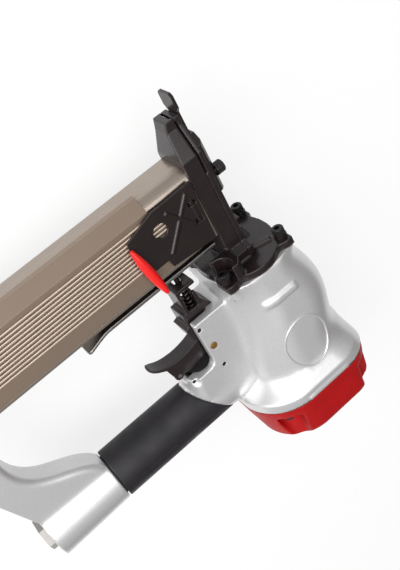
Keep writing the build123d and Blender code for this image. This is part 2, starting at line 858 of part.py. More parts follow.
def nose_base():
    """Nose block and the flange that carries it, in one black casting."""
    outline = [
        (split_x, 0),
        (-nose_tip_depth, 0),
        (-nose_tip_depth - nose_rear_lean, nose_straight),
        (nose_rear_x, nose_flare_top - nose_rear_lean),
        (nose_rear_x, flange_z),
        (split_x, flange_z),
    ]
    side = side_plate(outline, (-nose_left_foot, nose_left_foot))
    casting = side & cross_plate(nose_outline(0), (nose_rear_x, split_x))
    casting += Pos(0, 0, flange_z) * extrude(flange_face(), flange_thickness)
    casting += screw_pad()
    plate_room = cross_plate(nose_outline(-slide_gap), (split_x - overlap, front_plate_x + slide_gap))
    casting += flange_web() - plate_room
    slot_y = (-blade_slot_half_width, blade_slot_half_width)
    casting -= block((-split_x, split_x), slot_y, (-1, flange_top + overlap))
    channel_y = (-channel_half_width, channel_half_width)
    casting -= block((nose_rear_x - overlap, -split_x), channel_y, (channel_low_z, channel_high_z))
    tongue_span = (tongue_y - tongue_thickness / 2, tongue_y + tongue_thickness / 2)
    casting += block((nose_rear_x - tongue_length, nose_rear_x), tongue_span, (tongue_low_z, tongue_high_z))
    for z in magazine_screw_heights():
        casting -= rod_y(magazine_screw_x(), (-magazine_half_width, 0), z, small_screw_radius + pin_gap)
    for x, y in base_screw_places:
        casting -= rod_z(x, y, (flange_z - overlap, flange_top + overlap), screw_radius + hole_gap)
    for y, z in nose_bolt_places():
        casting -= rod_x((split_x - bolt_bite, split_x + overlap), y, z, screw_radius + pin_gap)
    return casting


def nose_bolt_places():
    """Centres, in (y, z), of the bolts that enter the nose block from the front."""
    trip = [(side * trip_bolt_y, trip_bolt_z) for side in (-1, 1)]
    return trip + [(side * plate_bolt_y, plate_bolt_z) for side in (-1, 1)]


def front_plate():
    """Plate that closes the drive channel in front, relieved along its lower edges."""
    span = (split_x, front_plate_x)
    plate = cross_plate(nose_outline(0), span)
    edge = plate - cross_plate(nose_outline(relief_depth), span)
    half = nose_half_width
    plate -= edge & block((split_x, split_x + relief_width), (-half, half), (relief_low_z, relief_high_z))
    for y, z in nose_bolt_places():
        plate -= rod_x((split_x - overlap, front_plate_x + overlap), y, z, screw_radius + hole_gap)
    return plate


def front_bolts(places, seat_x):
    """Socket screws that run rearward into the nose block from a seat."""
    screw = socket_screw(screw_radius, seat_x - split_x + bolt_bite, screw_head_radius, screw_head_height)
    return group(Pos(seat_x, y, z) * Rot(0, -90, 0) * screw for y, z in places)


def plate_bolts():
    """Bolts of the front plate."""
    return front_bolts(nose_bolt_places()[2:], front_plate_x)


def trip_cover():
    """Cover that guides the contact trip in front of the nose."""
    channel = trip_front_x + slide_gap
    front = channel + trip_cover_thickness
    across = (-trip_cover_half_width, trip_cover_half_width)
    cover = block((front_plate_x, front), across, (trip_cover_low_z, trip_cover_high_z))
    corner = trip_cover_half_width - trip_stem_half_width - trip_cover_margin
    cover = chamfer(cover.edges().filter_by(Axis.X).group_by(Axis.Z)[0], corner)
    cover = chamfer(cover.edges().filter_by(Axis.Z).group_by(Axis.X)[-1], trip_cover_bevel)
    half = trip_stem_half_width + slide_gap
    through_z = (trip_cover_low_z - overlap, trip_cover_high_z + overlap)
    cover -= block((front_plate_x - overlap, channel), (-half, half), through_z)
    for y, z in nose_bolt_places()[:2]:
        cover -= rod_x((front_plate_x - overlap, front + overlap), y, z, screw_radius + hole_gap)
    return cover


def trip_cover_bolts():
    """Bolts of the trip cover, each on a split washer."""
    return front_bolts(nose_bolt_places()[:2], trip_cover_front_x + spring_washer_thickness)


def base_gasket():
    """Gasket between the nose base and the head."""
    sheet = Pos(0, 0, flange_top) * extrude(flange_face(), gasket_thickness)
    sheet -= rod_z(0, 0, (flange_top - overlap, base_z + overlap), cylinder_radius + hole_gap)
    for x, y in base_screw_places:
        sheet -= rod_z(x, y, (flange_top - overlap, base_z + overlap), screw_radius + hole_gap)
    return sheet


def base_screws():
    """Four screws that hold the nose base to the head."""
    seat = flange_z - washer_stack
    length = washer_stack + flange_thickness + gasket_thickness + base_screw_grip
    screw = socket_screw(screw_radius, length, screw_head_radius, screw_head_height)
    return group(Pos(x, y, seat) * screw for x, y in base_screw_places)


def washer_at_zero(radius, thickness):
    """Washer for the larger screws, lying on the plane at zero."""
    span = (0, thickness)
    return rod_z(0, 0, span, radius) - rod_z(0, 0, span, screw_radius + hole_gap)


def flat_washers():
    """Flat washers on the flange."""
    washer = washer_at_zero(flat_washer_radius, flat_washer_thickness)
    return group(Pos(x, y, flange_z - flat_washer_thickness) * washer for x, y in base_screw_places)


def spring_washers():
    """Split washers under the heads of the base screws and of the trip cover's bolts."""
    gap = spring_washer_thickness / 2
    cut = block((0, 2 * spring_washer_radius), (-gap, gap), (-1, spring_washer_thickness + overlap))
    washer = washer_at_zero(spring_washer_radius, spring_washer_thickness) - cut
    places = [Pos(x, y, flange_z - washer_stack) for x, y in base_screw_places]
    places += [Pos(trip_cover_front_x, y, z) * Rot(0, 90, 0) for y, z in nose_bolt_places()[:2]]
    return group(place * washer for place in places)


# Contact trip


def contact_trip():
    """Flat trip that meets the work ahead of the nose."""
    tip = -trip_reach
    right = [
        (trip_tip_half_width - trip_tip_corner, tip),
        (trip_tip_half_width, tip + trip_tip_corner),
        (trip_tip_half_width, tip + trip_tip_length),
        (trip_stem_half_width, tip + trip_tip_length + trip_neck_length),
        (trip_stem_half_width, trip_arm_top),
    ]
    plate = cross_plate(right + [(-y, z) for y, z in reversed(right)], (trip_x, trip_front_x))
    middle_z = (trip_arm_z + trip_arm_top) / 2
    for y in (-trip_rivet_y, trip_rivet_y):
        plate -= rod_x((trip_x - overlap, trip_front_x + overlap), y, middle_z, trip_rivet_radius)
    return plate


def trip_arm():
    """Bent strip from the trip, past the nose's right side, to the plunger in the bracket."""
    band = (trip_arm_z, trip_arm_top)
    front = trip_arm_front_x + trip_arm_thickness
    outer_y = -trip_arm_y - trip_arm_thickness
    half = trip_arm_half_width
    root = trip_stem_half_width - trip_arm_inset
    arm = block((trip_front_x, front), (-root, root), band)
    arm += block((trip_arm_front_x, front), (outer_y, 0), band)
    arm += block((bracket_x - half, front), (outer_y, -trip_arm_y), band)
    arm += block((bracket_x - half, bracket_x + half), (outer_y, half), band)
    arm += rod_z(bracket_x, 0, (trip_arm_z, plunger_top), plunger_radius)
    arm += rod_z(bracket_x, 0, (collar_z, collar_z + collar_thickness), collar_radius)
    for y in (-trip_rivet_y, trip_rivet_y):
        arm -= rod_x((trip_x, front + overlap), y, trip_arm_z + trip_arm_height / 2, trip_rivet_radius)
    return arm


def trip_rivets():
    """Rivets that join the trip to its arm."""
    span = (trip_x, trip_arm_front_x + trip_arm_thickness)
    z = trip_arm_z + trip_arm_height / 2
    return group(rod_x(span, y, z, trip_rivet_radius) for y in (-trip_rivet_y, trip_rivet_y))


def trip_spring():
    """Spring that pushes the trip out past the nose."""
    low = collar_z + collar_thickness
    spring = coil(trip_spring_radius, trip_spring_wire, bracket_ceiling_z - low, trip_spring_turns)
    return Pos(bracket_x, 0, low) * spring


def trip_bracket():
    """Black bracket under the trigger housing that guides the plunger and its spring."""
    under = housing_low_z - slide_gap
    slot_front = housing_slot_front_x - slide_gap
    leg_inner = bracket_leg_x + bracket_leg_thickness
    foot_top = bracket_low_z + bracket_foot_thickness
    outline = [
        (bracket_leg_x, bracket_low_z),
        (bracket_foot_x, bracket_low_z),
        (bracket_foot_x, foot_top),
        (leg_inner, foot_top),
        (leg_inner, bracket_shoulder_z),
        (bracket_post_x - bracket_leg_thickness, bracket_shoulder_z),
        (bracket_post_x - bracket_leg_thickness, bracket_post_z),
        (bracket_post_x, bracket_post_z),
        (bracket_post_x + bracket_flare_low[0], bracket_shoulder_z - bracket_flare_low[1]),
        (bracket_post_x + bracket_flare_reach, under),
        (slot_front, under),
        (slot_front, bracket_high_z),
        *reversed(bracket_rear),
        (bracket_leg_x, bracket_rear[0][1]),
    ]
    bracket = side_plate(outline, (-bracket_half_width, bracket_half_width))
    cavity = (bracket_x - bracket_cavity, bracket_x + bracket_cavity)
    room_y = (-bracket_cavity_half_width, bracket_cavity_half_width)
    bracket -= block(cavity, room_y, (foot_top, bracket_ceiling_z))
    through = (bracket_low_z - overlap, bracket_high_z + overlap)
    bracket -= rod_z(bracket_x, 0, through, plunger_radius + slide_gap)
    half = trip_arm_half_width + loose_gap
    arm_y = (-bracket_half_width - overlap, half)
    slot_top = trip_arm_top + trip_travel + loose_gap
    bracket -= block((bracket_x - half, bracket_x + half), arm_y, (bracket_low_z - overlap, slot_top))
    across = (-bracket_half_width - overlap, bracket_half_width + overlap)
    return bracket - rod_y(bracket_pin[0], across, bracket_pin[1], roll_pin_radius)


# Trigger and its valve


def trigger():
    """Trigger on a pin at its front, hollow above, with a lever hinged at its rear."""
    ear = trigger_pin
    boss_x, boss_z = contact_pin
    boss = [(boss_x + trigger_boss_radius * cos(radians(a)), boss_z + trigger_boss_radius * sin(radians(a)))
            for a in trigger_boss_angles]
    drop = (trigger_ear_radius**2 - trigger_ear_set**2) ** 0.5
    front_low = (ear[0] - trigger_ear_set, ear[1] - drop)
    front_high = (ear[0] - trigger_ear_set, ear[1] + drop)
    outline = [
        Line(front_low, trigger_finger[0]),
        ThreePointArc(*trigger_finger[:3]),
        ThreePointArc(*trigger_finger[2:]),
        ThreePointArc(trigger_finger[-1], *trigger_tip),
        ThreePointArc(trigger_tip[-1], *trigger_back),
        Line(trigger_back[-1], boss[0]),
        ThreePointArc(*boss),
        ThreePointArc(boss[2], *trigger_cheek),
        Line(trigger_cheek[-1], front_high),
        ThreePointArc(front_high, (ear[0] + trigger_ear_radius, ear[1]), front_low),
    ]
    lever = Pos(0, trigger_half_width, 0) * extrude(Plane.XZ * make_face(outline), 2 * trigger_half_width)
    length = ear[0] + 2 * trigger_ear_radius - trigger_tip[-1][0]
    plan = Rectangle(length, 2 * trigger_half_width)
    plan = fillet(plan.vertices().group_by(Axis.X)[0], trigger_tip_corner)
    lever &= Pos(trigger_tip[-1][0] + length / 2, 0, housing_low_z) * extrude(plan, housing_ceiling_z)
    inner = trigger_half_width - trigger_wall
    rear_x = boss_x - trigger_boss_radius - trigger_hollow_margin
    low_z = ear[1] - 2 * trigger_ear_radius
    high_z = boss_z + 2 * trigger_boss_radius
    hollow = [
        (ear[0] + 2 * trigger_ear_radius, high_z),
        (ear[0] + 2 * trigger_ear_radius, low_z),
        (trigger_finger[0][0], low_z),
        (trigger_finger[0][0], trigger_finger[0][1] + trigger_web + trigger_hollow_margin),
        (trigger_finger[1][0], trigger_finger[1][1] + trigger_web),
        (rear_x, trigger_finger[1][1] + trigger_web),
        (rear_x, high_z),
    ]
    lever -= side_plate(hollow, (-inner, inner))
    across = (-trigger_half_width - overlap, trigger_half_width + overlap)
    lever -= rod_y(ear[0], across, ear[1], trigger_pin_radius + pin_gap)
    return lever - rod_y(boss_x, across, boss_z, contact_pin_radius)


def trigger_pin_piece():
    """Pin across the housing that the trigger turns on."""
    reach = housing_half_width + loose_gap
    return rod_y(trigger_pin[0], (-reach, reach), trigger_pin[1], trigger_pin_radius)


def contact_lever():
    """Lever inside the trigger, between the trip's plunger and the valve stem."""
    half = contact_lever_half_width
    thick = contact_lever_thickness
    (rear_x, rear_z), (front_x, front_z) = contact_pin, contact_lever_front
    run, rise = front_x - rear_x, front_z - rear_z
    middle = Pos((front_x + rear_x) / 2, 0, (front_z + rear_z) / 2)
    bar = middle * Rot(0, -degrees(atan2(rise, run)), 0) * Box(hypot(run, rise), 2 * half, thick)
    bar += rod_y(contact_pin[0], (-half, half), contact_pin[1], contact_knuckle_radius)
    across = (-half - overlap, half + overlap)
    return bar - rod_y(contact_pin[0], across, contact_pin[1], contact_pin_radius + pin_gap)


def contact_pin_piece():
    """Small pin at the trigger's rear that the lever turns on."""
    reach = trigger_half_width + slide_gap
    return rod_y(contact_pin[0], (-reach, reach), contact_pin[1], contact_pin_radius)


def trigger_valve_body():
    """Body of the trigger valve, held by two roll pins in its groove."""
    top = valve_low_z + valve_height
    shell = rod_z(valve_x, 0, (valve_low_z, top), valve_radius)
    pin_heights = sorted(z for x, z in valve_pins)
    room = valve_groove_share * roll_pin_radius
    groove = (pin_heights[0] - room, pin_heights[-1] + room)
    neck = rod_z(valve_x, 0, groove, valve_groove_radius)
    shell -= rod_z(valve_x, 0, groove, valve_radius + overlap) - neck
    shell -= rod_z(valve_x, 0, (valve_low_z - overlap, stem_head_z), stem_radius + pin_gap)
    shell -= rod_z(valve_x, 0, (stem_head_z - slide_gap, top - valve_top_wall), valve_chamber_bore)
    return shell - rod_z(valve_x, 0, (top - valve_top_wall - overlap, top + overlap), valve_top_bore)


def valve_stem():
    """Stem of the trigger valve, with a round tip over the trigger's pad."""
    stem = rod_z(valve_x, 0, (stem_tip_z + stem_radius, stem_head_z), stem_radius)
    stem += Pos(valve_x, 0, stem_tip_z + stem_radius) * Sphere(stem_radius)
    return stem + rod_z(valve_x, 0, (stem_head_z, stem_head_z + stem_head_height), stem_head_radius)


def valve_spring():
    """Spring that returns the valve stem."""
    low = stem_head_z + stem_head_height
    length = valve_low_z + valve_height - valve_top_wall - low
    return Pos(valve_x, 0, low) * coil(valve_spring_radius, valve_spring_wire, length, valve_spring_turns)


def roll_pins():
    """Roll pins across the trigger housing, the rearmost one between two spot faces."""
    reaches = [housing_half_width, housing_half_width, spot_face_y]
    places = zip([bracket_pin, *valve_pins], reaches)
    return group(rod_y(x, (-reach, reach), z, roll_pin_radius) for (x, z), reach in places)


# Cap and head valve


def cap_scoop(x, y):
    """Scoop that opens the cap's side over a screw, leaning outwards as it rises."""
    side = 1 if y > 0 else -1
    span = (-cap_flange_height, 2 * cap_height)
    scoop = rod_z(0, 0, span, cap_pocket_radius)
    scoop += block((-cap_pocket_radius, cap_pocket_radius), sorted((0, side * cap_height)), span)
    scoop = Pos(x, y, cap_flange_top) * Rot(-side * cap_pocket_tilt, 0, 0) * scoop
    return scoop & block((-far, far), (-far, far), (cap_flange_top, cap_top + cap_height))


def head_cap():
    """Red cap with a screw pocket at each corner."""
    inset = cap_inset + cap_top_inset
    corners = [corner - cap_top_inset for corner in (rim_front_corner, rim_rear_corner)]
    half_width = rim_half_width - cap_inset - cap_flat_taper
    reach = (rim_front - inset, rim_rear - inset - cap_rear_taper, half_width)
    cap = loft([rim_section(cap_z, cap_inset), mouth_section(cap_top, *reach, *corners)], ruled=True)
    cap = fillet(cap.faces().sort_by(Axis.Z)[-1].edges(), cap_edge_radius)
    cap -= rod_z(0, 0, (cap_z - overlap, cap_z + valve_chamber_depth), valve_chamber_radius)
    cap -= rod_z(0, 0, (cap_top - exhaust_seat, cap_top + overlap), exhaust_radius + slide_gap)
    cap -= rod_z(0, 0, (cap_z, cap_top), screw_radius)
    for index in range(exhaust_hole_count):
        turn = radians(360 * index / exhaust_hole_count)
        place = (exhaust_hole_circle * cos(turn), exhaust_hole_circle * sin(turn))
        cap -= rod_z(*place, (cap_z, cap_top), exhaust_hole_radius)
    for x, y in cap_pocket_places:
        cap -= cap_scoop(x, y)
    for x, y in cap_screw_places:
        cap -= rod_z(x, y, (cap_z - overlap, cap_flange_top + overlap), screw_radius + hole_gap)
    return cap


def cap_gasket():
    """Gasket between the head's rim and the cap."""
    sheet = extrude(rim_section(rim_z, cap_inset), gasket_thickness)
    sheet -= rod_z(0, 0, (rim_z - overlap, cap_z + overlap), cap_gasket_bore)
    for x, y in cap_screw_places:
        sheet -= rod_z(x, y, (rim_z - overlap, cap_z + overlap), screw_radius + hole_gap)
    return sheet


def cap_screws():
    """Four screws that hold the cap to the head."""
    length = cap_flange_height + gasket_thickness + cap_screw_grip
    screw = Rot(180, 0, 0) * socket_screw(screw_radius, length, screw_head_radius, screw_head_height)
    return group(Pos(x, y, cap_flange_top) * screw for x, y in cap_screw_places)


def head_valve():
    """Valve plate that closes the cylinder's upper end."""
    span = (cap_z + pin_gap, cap_z + pin_gap + head_valve_height)
    plate = rod_z(0, 0, span, valve_chamber_radius - head_valve_gap) - rod_z(0, 0, span, head_valve_hole)
    z = cap_z + pin_gap + head_valve_height / 2
    outer = valve_chamber_radius - head_valve_gap
    half = seal_section + hole_gap
    return plate - ring(outer + overlap, outer - 2 * seal_section - pin_gap, (z - half, z + half))


def head_valve_seal():
    """O-ring in the head valve's groove."""
    middle = valve_chamber_radius - head_valve_gap - seal_section
    return Pos(0, 0, cap_z + pin_gap + head_valve_height / 2) * Torus(middle, seal_section)


def head_valve_spring():
    """Spring that seats the head valve on the cylinder."""
    low = cap_z + pin_gap + head_valve_height
    length = cap_z + valve_chamber_depth - low
    return Pos(0, 0, low) * coil(head_spring_radius, head_spring_wire, length, head_spring_turns)


def exhaust_deflector():
    """Disc over the exhaust holes that turns to point its outlet."""
    low = cap_top - exhaust_seat + slide_gap
    high = low + exhaust_height
    disc = rod_z(0, 0, (low, high), exhaust_radius)
    disc = fillet(disc.faces().sort_by(Axis.Z)[-1].edges(), exhaust_wall / 2)
    hub = screw_head_radius + exhaust_hub_wall
    disc -= ring(exhaust_radius - exhaust_wall, hub, (low - overlap, high - exhaust_wall))
    outlet_y = (-exhaust_radius / 2, exhaust_radius / 2)
    disc -= block((0, exhaust_radius + overlap), outlet_y, (cap_top + slide_gap, high - exhaust_wall))
    disc += ring(hub, screw_radius, (low, high - exhaust_wall / 2))
    return disc - rod_z(0, 0, (low - overlap, high + overlap), screw_radius + pin_gap)


def exhaust_screw():
    """Screw the exhaust deflector turns on."""
    seat = cap_top - exhaust_seat + 2 * slide_gap + exhaust_height
    length = seat - cap_z - valve_chamber_depth
    screw = socket_screw(screw_radius, length, screw_head_radius, screw_head_height)
    return Pos(0, 0, seat) * Rot(180, 0, 0) * screw


# Tail and air inlet


def tail_cap():
    """Tail casting behind the grip, with a leg down to the magazine."""
    wide = Ellipse(grip_half_width + tail_growth, grip_half_height + tail_growth)
    front = Pos(tail_front_x, 0, handle_z) * (Plane.YZ * Ellipse(grip_half_width, grip_half_height))
    rear = Pos(tail_rear_x, 0, handle_z) * (Plane.YZ * wide)
    casting = loft([rear, front]) + tail_leg()
    through = (tail_rear_x - overlap, tail_front_x + overlap)
    casting -= rod_x(through, 0, handle_z, air_passage_radius)
    behind = tail_rear_x - inlet_clearance
    casting -= rod_x((behind, tail_rear_x + inlet_length), 0, handle_z, inlet_body_radius)
    casting -= rod_x((behind, tail_rear_x), 0, handle_z, inlet_flange_radius + loose_gap)
    for y, z in tail_screw_places:
        casting -= rod_x(through, y, z, small_screw_radius + hole_gap)
        casting -= rod_x((behind, tail_seat_x), y, z, small_head_radius + hole_gap)
    half = hanger_tongue_half_width + hole_gap
    top = magazine_high_z + hanger_tongue_height + loose_gap
    foot_x = (foot_rear_x - overlap, foot_front_x + overlap)
    casting -= block(foot_x, (-half, half), (foot_low_z - overlap, top))
    for x in hanger_bolts_x:
        across = (-tail_half_width - overlap, tail_half_width + overlap)
        casting -= rod_y(x, across, magazine_high_z + hanger_bolt_z, screw_radius + hole_gap)
    return casting


def tail_leg():
    """Leg of the tail, swept down from the handle to a foot over the magazine."""
    foot_top = foot_low_z + foot_height
    start = (tail_front_x, handle_low_z + tail_leg_rise)
    knee = (foot_front_x, foot_top + tail_knee)
    high_bend = (tail_front_x - tail_bend_high[0], handle_low_z - tail_bend_high[1])
    low_bend = (foot_front_x + tail_bend_low[0], handle_low_z - tail_bend_low[1])
    outline = [
        Line((tail_front_x, handle_z), start),
        Spline(start, high_bend, low_bend, knee, tangents=tail_leg_tangents),
        Line(knee, (foot_front_x, foot_low_z)),
        Line((foot_front_x, foot_low_z), (foot_rear_x, foot_low_z)),
        Line((foot_rear_x, foot_low_z), (foot_rear_x, foot_top)),
        Line((foot_rear_x, foot_top), (tail_rear_x, handle_low_z)),
        Line((tail_rear_x, handle_low_z), (tail_rear_x, handle_z)),
        Line((tail_rear_x, handle_z), (tail_front_x, handle_z)),
    ]
    leg = Pos(0, tail_half_width, 0) * extrude(Plane.XZ * make_face(outline), 2 * tail_half_width)
    return fillet(leg.edges().filter_by(GeomType.BSPLINE), tail_round)


def tail_gasket():
    """Gasket between the handle core and the tail."""
    sheet = oval_bar((tail_front_x, grip_rear_x), core_half_width, core_half_height)
    sheet -= rod_x((tail_front_x - overlap, grip_rear_x + overlap), 0, handle_z, air_passage_radius)
    for y, z in tail_screw_places:
        sheet -= rod_x((tail_front_x - overlap, grip_rear_x + overlap), y, z, small_screw_radius + hole_gap)
    return sheet


def tail_screws():
    """Four screws that hold the tail to the handle core."""
    length = tail_front_x - tail_seat_x + gasket_thickness + handle_end_wall - screw_spare
    screw = Rot(0, 90, 0) * socket_screw(small_screw_radius, length, small_head_radius, small_head_height)
    return group(Pos(tail_seat_x, y, z) * screw for y, z in tail_screw_places)


def inlet_bushing():
    """Steel bushing with the air inlet's thread."""
    front = tail_rear_x + inlet_length
    rear = tail_rear_x - inlet_flange_thickness
    bush = rod_x((rear, front), 0, handle_z, inlet_body_radius)
    hexagon = Plane.YZ * RegularPolygon(inlet_flange_radius, 6)
    bush += Pos(rear, 0, handle_z) * extrude(hexagon, inlet_flange_thickness)
    return bush - rod_x((rear - overlap, front + overlap), 0, handle_z, inlet_radius)


def hanger_bolts():
    """Bolts through the tail's foot and the magazine's tongue."""
    length = 2 * tail_half_width + nut_height
    screw = Rot(90, 0, 0) * socket_screw(screw_radius, length, screw_head_radius, screw_head_height)
    return group(Pos(x, tail_half_width, magazine_high_z + hanger_bolt_z) * screw for x in hanger_bolts_x)


def hanger_nuts():
    """Nuts on the hanger bolts."""
    hexagon = RegularPolygon(nut_radius, 6) - Circle(screw_radius)
    nut = extrude(Plane.XZ * hexagon, nut_height)
    return group(Pos(x, -tail_half_width, magazine_high_z + hanger_bolt_z) * nut for x in hanger_bolts_x)


# Magazine


def magazine_screw_x():
    """Place along the magazine of the screws that hold it to the nose."""
    return nose_rear_x - tongue_length / 2


def magazine_screw_heights():
    """Heights of the screws that hold the magazine to the nose."""
    return [tongue_low_z + magazine_screw_inset, tongue_high_z - magazine_screw_inset]


def rail_bar():
    """Solid bar of the magazine rail's outer section, rounded along its left lower edge."""
    section = Rectangle(2 * magazine_half_width, magazine_high_z - magazine_low_z)
    lower = section.vertices().group_by(Axis.Y)[0].sort_by(Axis.X)
    section = fillet(lower[-1], magazine_corner)
    section = fillet(section.vertices().group_by(Axis.Y)[0].sort_by(Axis.X)[0], rail_edge)
    middle = Pos(magazine_rear_x, 0, (magazine_low_z + magazine_high_z) / 2)
    return middle * extrude(Plane.YZ * section, nose_rear_x - magazine_rear_x)


def magazine_rail():
    """Fixed rail of the magazine, open on its left behind the front guide."""
    rail = rail_bar()
    behind = magazine_rear_x - overlap
    channel_y = (-channel_half_width, channel_half_width)
    rail -= block((behind, nose_rear_x + overlap), channel_y, (channel_low_z, channel_high_z))
    side_x = (behind, cover_front_x + slide_gap)
    lip_x = (behind, cover_lip_front_x + slide_gap)
    outside = magazine_half_width + overlap
    side_y = (channel_half_width - overlap, outside)
    rail -= block(side_x, side_y, (cover_corner_z - slide_gap, channel_high_z))
    rail -= block(lip_x, side_y, (cover_box_low_z - slide_gap, cover_corner_z))
    lip_y = (channel_half_width - slide_gap, outside)
    rail -= block(lip_x, lip_y, (magazine_low_z - overlap, cover_box_low_z))
    bead_y = channel_half_width + slide_gap + bead
    groove = (bead_y - slide_gap, bead_y + bead + slide_gap)
    groove_top = cover_high_z + 2 * bead_height + slide_gap
    rail -= block(side_x, groove, (channel_high_z - overlap, groove_top))
    groove = (cover_lip_y - slide_gap, cover_lip_y + bead + slide_gap)
    rail -= block(lip_x, groove, (magazine_low_z - overlap, magazine_low_z + bead_height + slide_gap))
    hollow_y = (-magazine_half_width + hollow_wall, -channel_half_width - hollow_wall)
    rail -= block((behind, hollow_front_x), hollow_y, (hollow_low_z, hollow_high_z))
    half = tongue_thickness / 2 + hole_gap
    slot_x = (nose_rear_x - tongue_length - hole_gap, nose_rear_x + overlap)
    slot_z = (tongue_low_z - hole_gap, tongue_high_z + hole_gap)
    rail -= block(slot_x, (tongue_y - half, tongue_y + half), slot_z)
    screw_y = (-magazine_half_width - overlap, tongue_y)
    for z in magazine_screw_heights():
        rail -= rod_y(magazine_screw_x(), screw_y, z, small_screw_radius + hole_gap)
    for y, z in end_screw_places():
        rail -= rod_x((behind, magazine_rear_x + end_screw_bite + screw_spare), y, z, roll_pin_radius)
    return rail + lever_lug() + hanger_tongue() - latch_seat() + latch_lugs()


def lever_lug():
    """Lug on the rail's top that carries the release lever."""
    half = (-lever_lug_half_width, lever_lug_half_width)
    span = (lever_pivot_x - lever_ear_radius, lever_pivot_x + lever_ear_radius)
    lug = block(span, half, (magazine_high_z - overlap, lever_pivot_z))
    lug += rod_y(lever_pivot_x, half, lever_pivot_z, lever_ear_radius)
    return lug - rod_y(lever_pivot_x, half, lever_pivot_z, lever_pin_radius)


def hanger_tongue():
    """Tongue on the rail's top that the tail's foot is bolted to."""
    half = (-hanger_tongue_half_width, hanger_tongue_half_width)
    top = magazine_high_z + hanger_tongue_height
    tongue = block((foot_rear_x, foot_front_x), half, (magazine_high_z - overlap, top))
    for x in hanger_bolts_x:
        tongue -= rod_y(x, half, magazine_high_z + hanger_bolt_z, screw_radius + hole_gap)
    return tongue


def latch_seat():
    """Room in the rail for the latch's knuckle and its spring."""
    span = (latch_hinge_low_z, latch_hinge_high_z)
    room = rod_z(latch_hinge_x, latch_hinge_y, span, latch_knuckle_radius + loose_gap)
    seat = (magazine_half_width - latch_spring_seat, magazine_half_width + overlap)
    bore = latch_spring_radius + latch_spring_wire + slide_gap
    return room + rod_y(latch_spring_x, seat, latch_spring_z, bore)


def latch_lugs():
    """Two lugs on the rail that hold the latch's pin."""
    lugs = []
    for low in (latch_hinge_low_z - latch_lug_height, latch_hinge_high_z):
        span = (low, low + latch_lug_height)
        lug = rod_z(latch_hinge_x, latch_hinge_y, span, latch_lug_radius)
        root = (latch_hinge_x - latch_lug_radius, latch_hinge_x + latch_lug_radius)
        lug += block(root, (magazine_half_width - overlap, latch_hinge_y), span)
        lugs.append(lug - rod_z(latch_hinge_x, latch_hinge_y, span, latch_pin_radius))
    return lugs[0] + lugs[1]


def end_screw_places():
    """Centres, in (y, z), of the end cap's screws."""
    y = (-magazine_half_width - channel_half_width) / 2
    return [(y, (channel_low_z + hollow_low_z) / 2), (y, (channel_high_z + hollow_high_z) / 2)]


def magazine_end_cap():
    """Plate that closes the channel at the magazine's rear."""
    span = (magazine_rear_x - end_cap_thickness, magazine_rear_x)
    across = (-magazine_half_width, channel_half_width - slide_gap)
    plate = block(span, across, (magazine_low_z + rail_edge, channel_high_z))
    for y, z in end_screw_places():
        plate -= rod_x((span[0] - overlap, span[1] + overlap), y, z, roll_pin_radius + hole_gap)
    return plate


def end_cap_screws():
    """Screws of the magazine's end cap."""
    length = end_cap_thickness + end_screw_bite
    screw = Rot(0, 90, 0) * socket_screw(roll_pin_radius, length, end_head_radius, small_head_height)
    return group(Pos(magazine_rear_x - end_cap_thickness, y, z) * screw for y, z in end_screw_places())


def magazine_screws():
    """Screws that hold the magazine rail to the nose."""
    length = magazine_half_width + tongue_y + tongue_thickness / 2
    screw = Rot(-90, 0, 0) * socket_screw(small_screw_radius, length, small_head_radius, small_head_height)
    return group(Pos(magazine_screw_x(), -magazine_half_width, z) * screw for z in magazine_screw_heights())


def magazine_cover():
    """Ribbed sliding cover on the magazine's left side, guided by a bead at each edge."""
    span = (magazine_rear_x + cover_end_gap, cover_front_x)
    inner_y = cover_half_width - cover_skin
    bevel_inner = cover_low_z + cover_skin
    diagonal = cover_skin * tan(radians(45 / 2))
    skin = [
        (cover_lip_y, cover_low_z),
        (cover_half_width - cover_bevel, cover_low_z),
        (cover_half_width, cover_low_z + cover_bevel),
        (cover_half_width, cover_high_z),
        (inner_y, cover_high_z),
        (inner_y, cover_low_z + cover_bevel + diagonal),
        (cover_half_width - cover_bevel - diagonal, bevel_inner),
        (cover_lip_y, bevel_inner),
    ]
    cover = cross_plate(skin, span)
    box_y = channel_half_width + slide_gap
    box = block(span, (box_y, inner_y), (cover_box_low_z, cover_box_high_z))
    room_z = (cover_box_low_z + cover_skin, cover_box_high_z - cover_skin)
    cover += box - block((span[0] - overlap, span[1] + overlap), (box_y + cover_skin, inner_y), room_z)
    bead_y = box_y + bead
    cover += block(span, (bead_y, cover_half_width), (cover_box_high_z, cover_high_z))
    cover += block(span, (bead_y, bead_y + bead), (cover_high_z, cover_high_z + 2 * bead_height))
    cover += block(span, (cover_lip_y, cover_lip_y + bead), (bevel_inner, bevel_inner + bead_height))
    rib_y = (cover_half_width, cover_half_width + rib_height)
    for index in range(rib_count):
        z = rib_low_z + (rib_high_z - rib_low_z) * index / (rib_count - 1)
        cover += block(span, rib_y, (z - rib_width / 2, z + rib_width / 2))
    corner_x = (cover_lip_front_x, cover_front_x + overlap)
    return cover - block(corner_x, (0, cover_half_width + overlap), (cover_low_z - overlap, cover_corner_z))


def pusher_middle():
    """Centre of the pusher's band spring, in (x, z)."""
    return pusher_front_x - pusher_length / 2, (channel_low_z + channel_high_z) / 2


def pusher():
    """Follower that pushes the staples forward, with room for its band spring."""
    half = channel_half_width - slide_gap
    span = (pusher_front_x - pusher_length, pusher_front_x)
    follower = block(span, (-half, half), (channel_low_z + slide_gap, channel_high_z - slide_gap))
    x, z = pusher_middle()
    room_y = (-band_half_width - slide_gap, band_half_width + slide_gap)
    follower -= rod_y(x, room_y, z, band_roll_radius + loose_gap)
    return follower - rod_y(x, (-half - overlap, half + overlap), z, band_drum_radius + pin_gap)


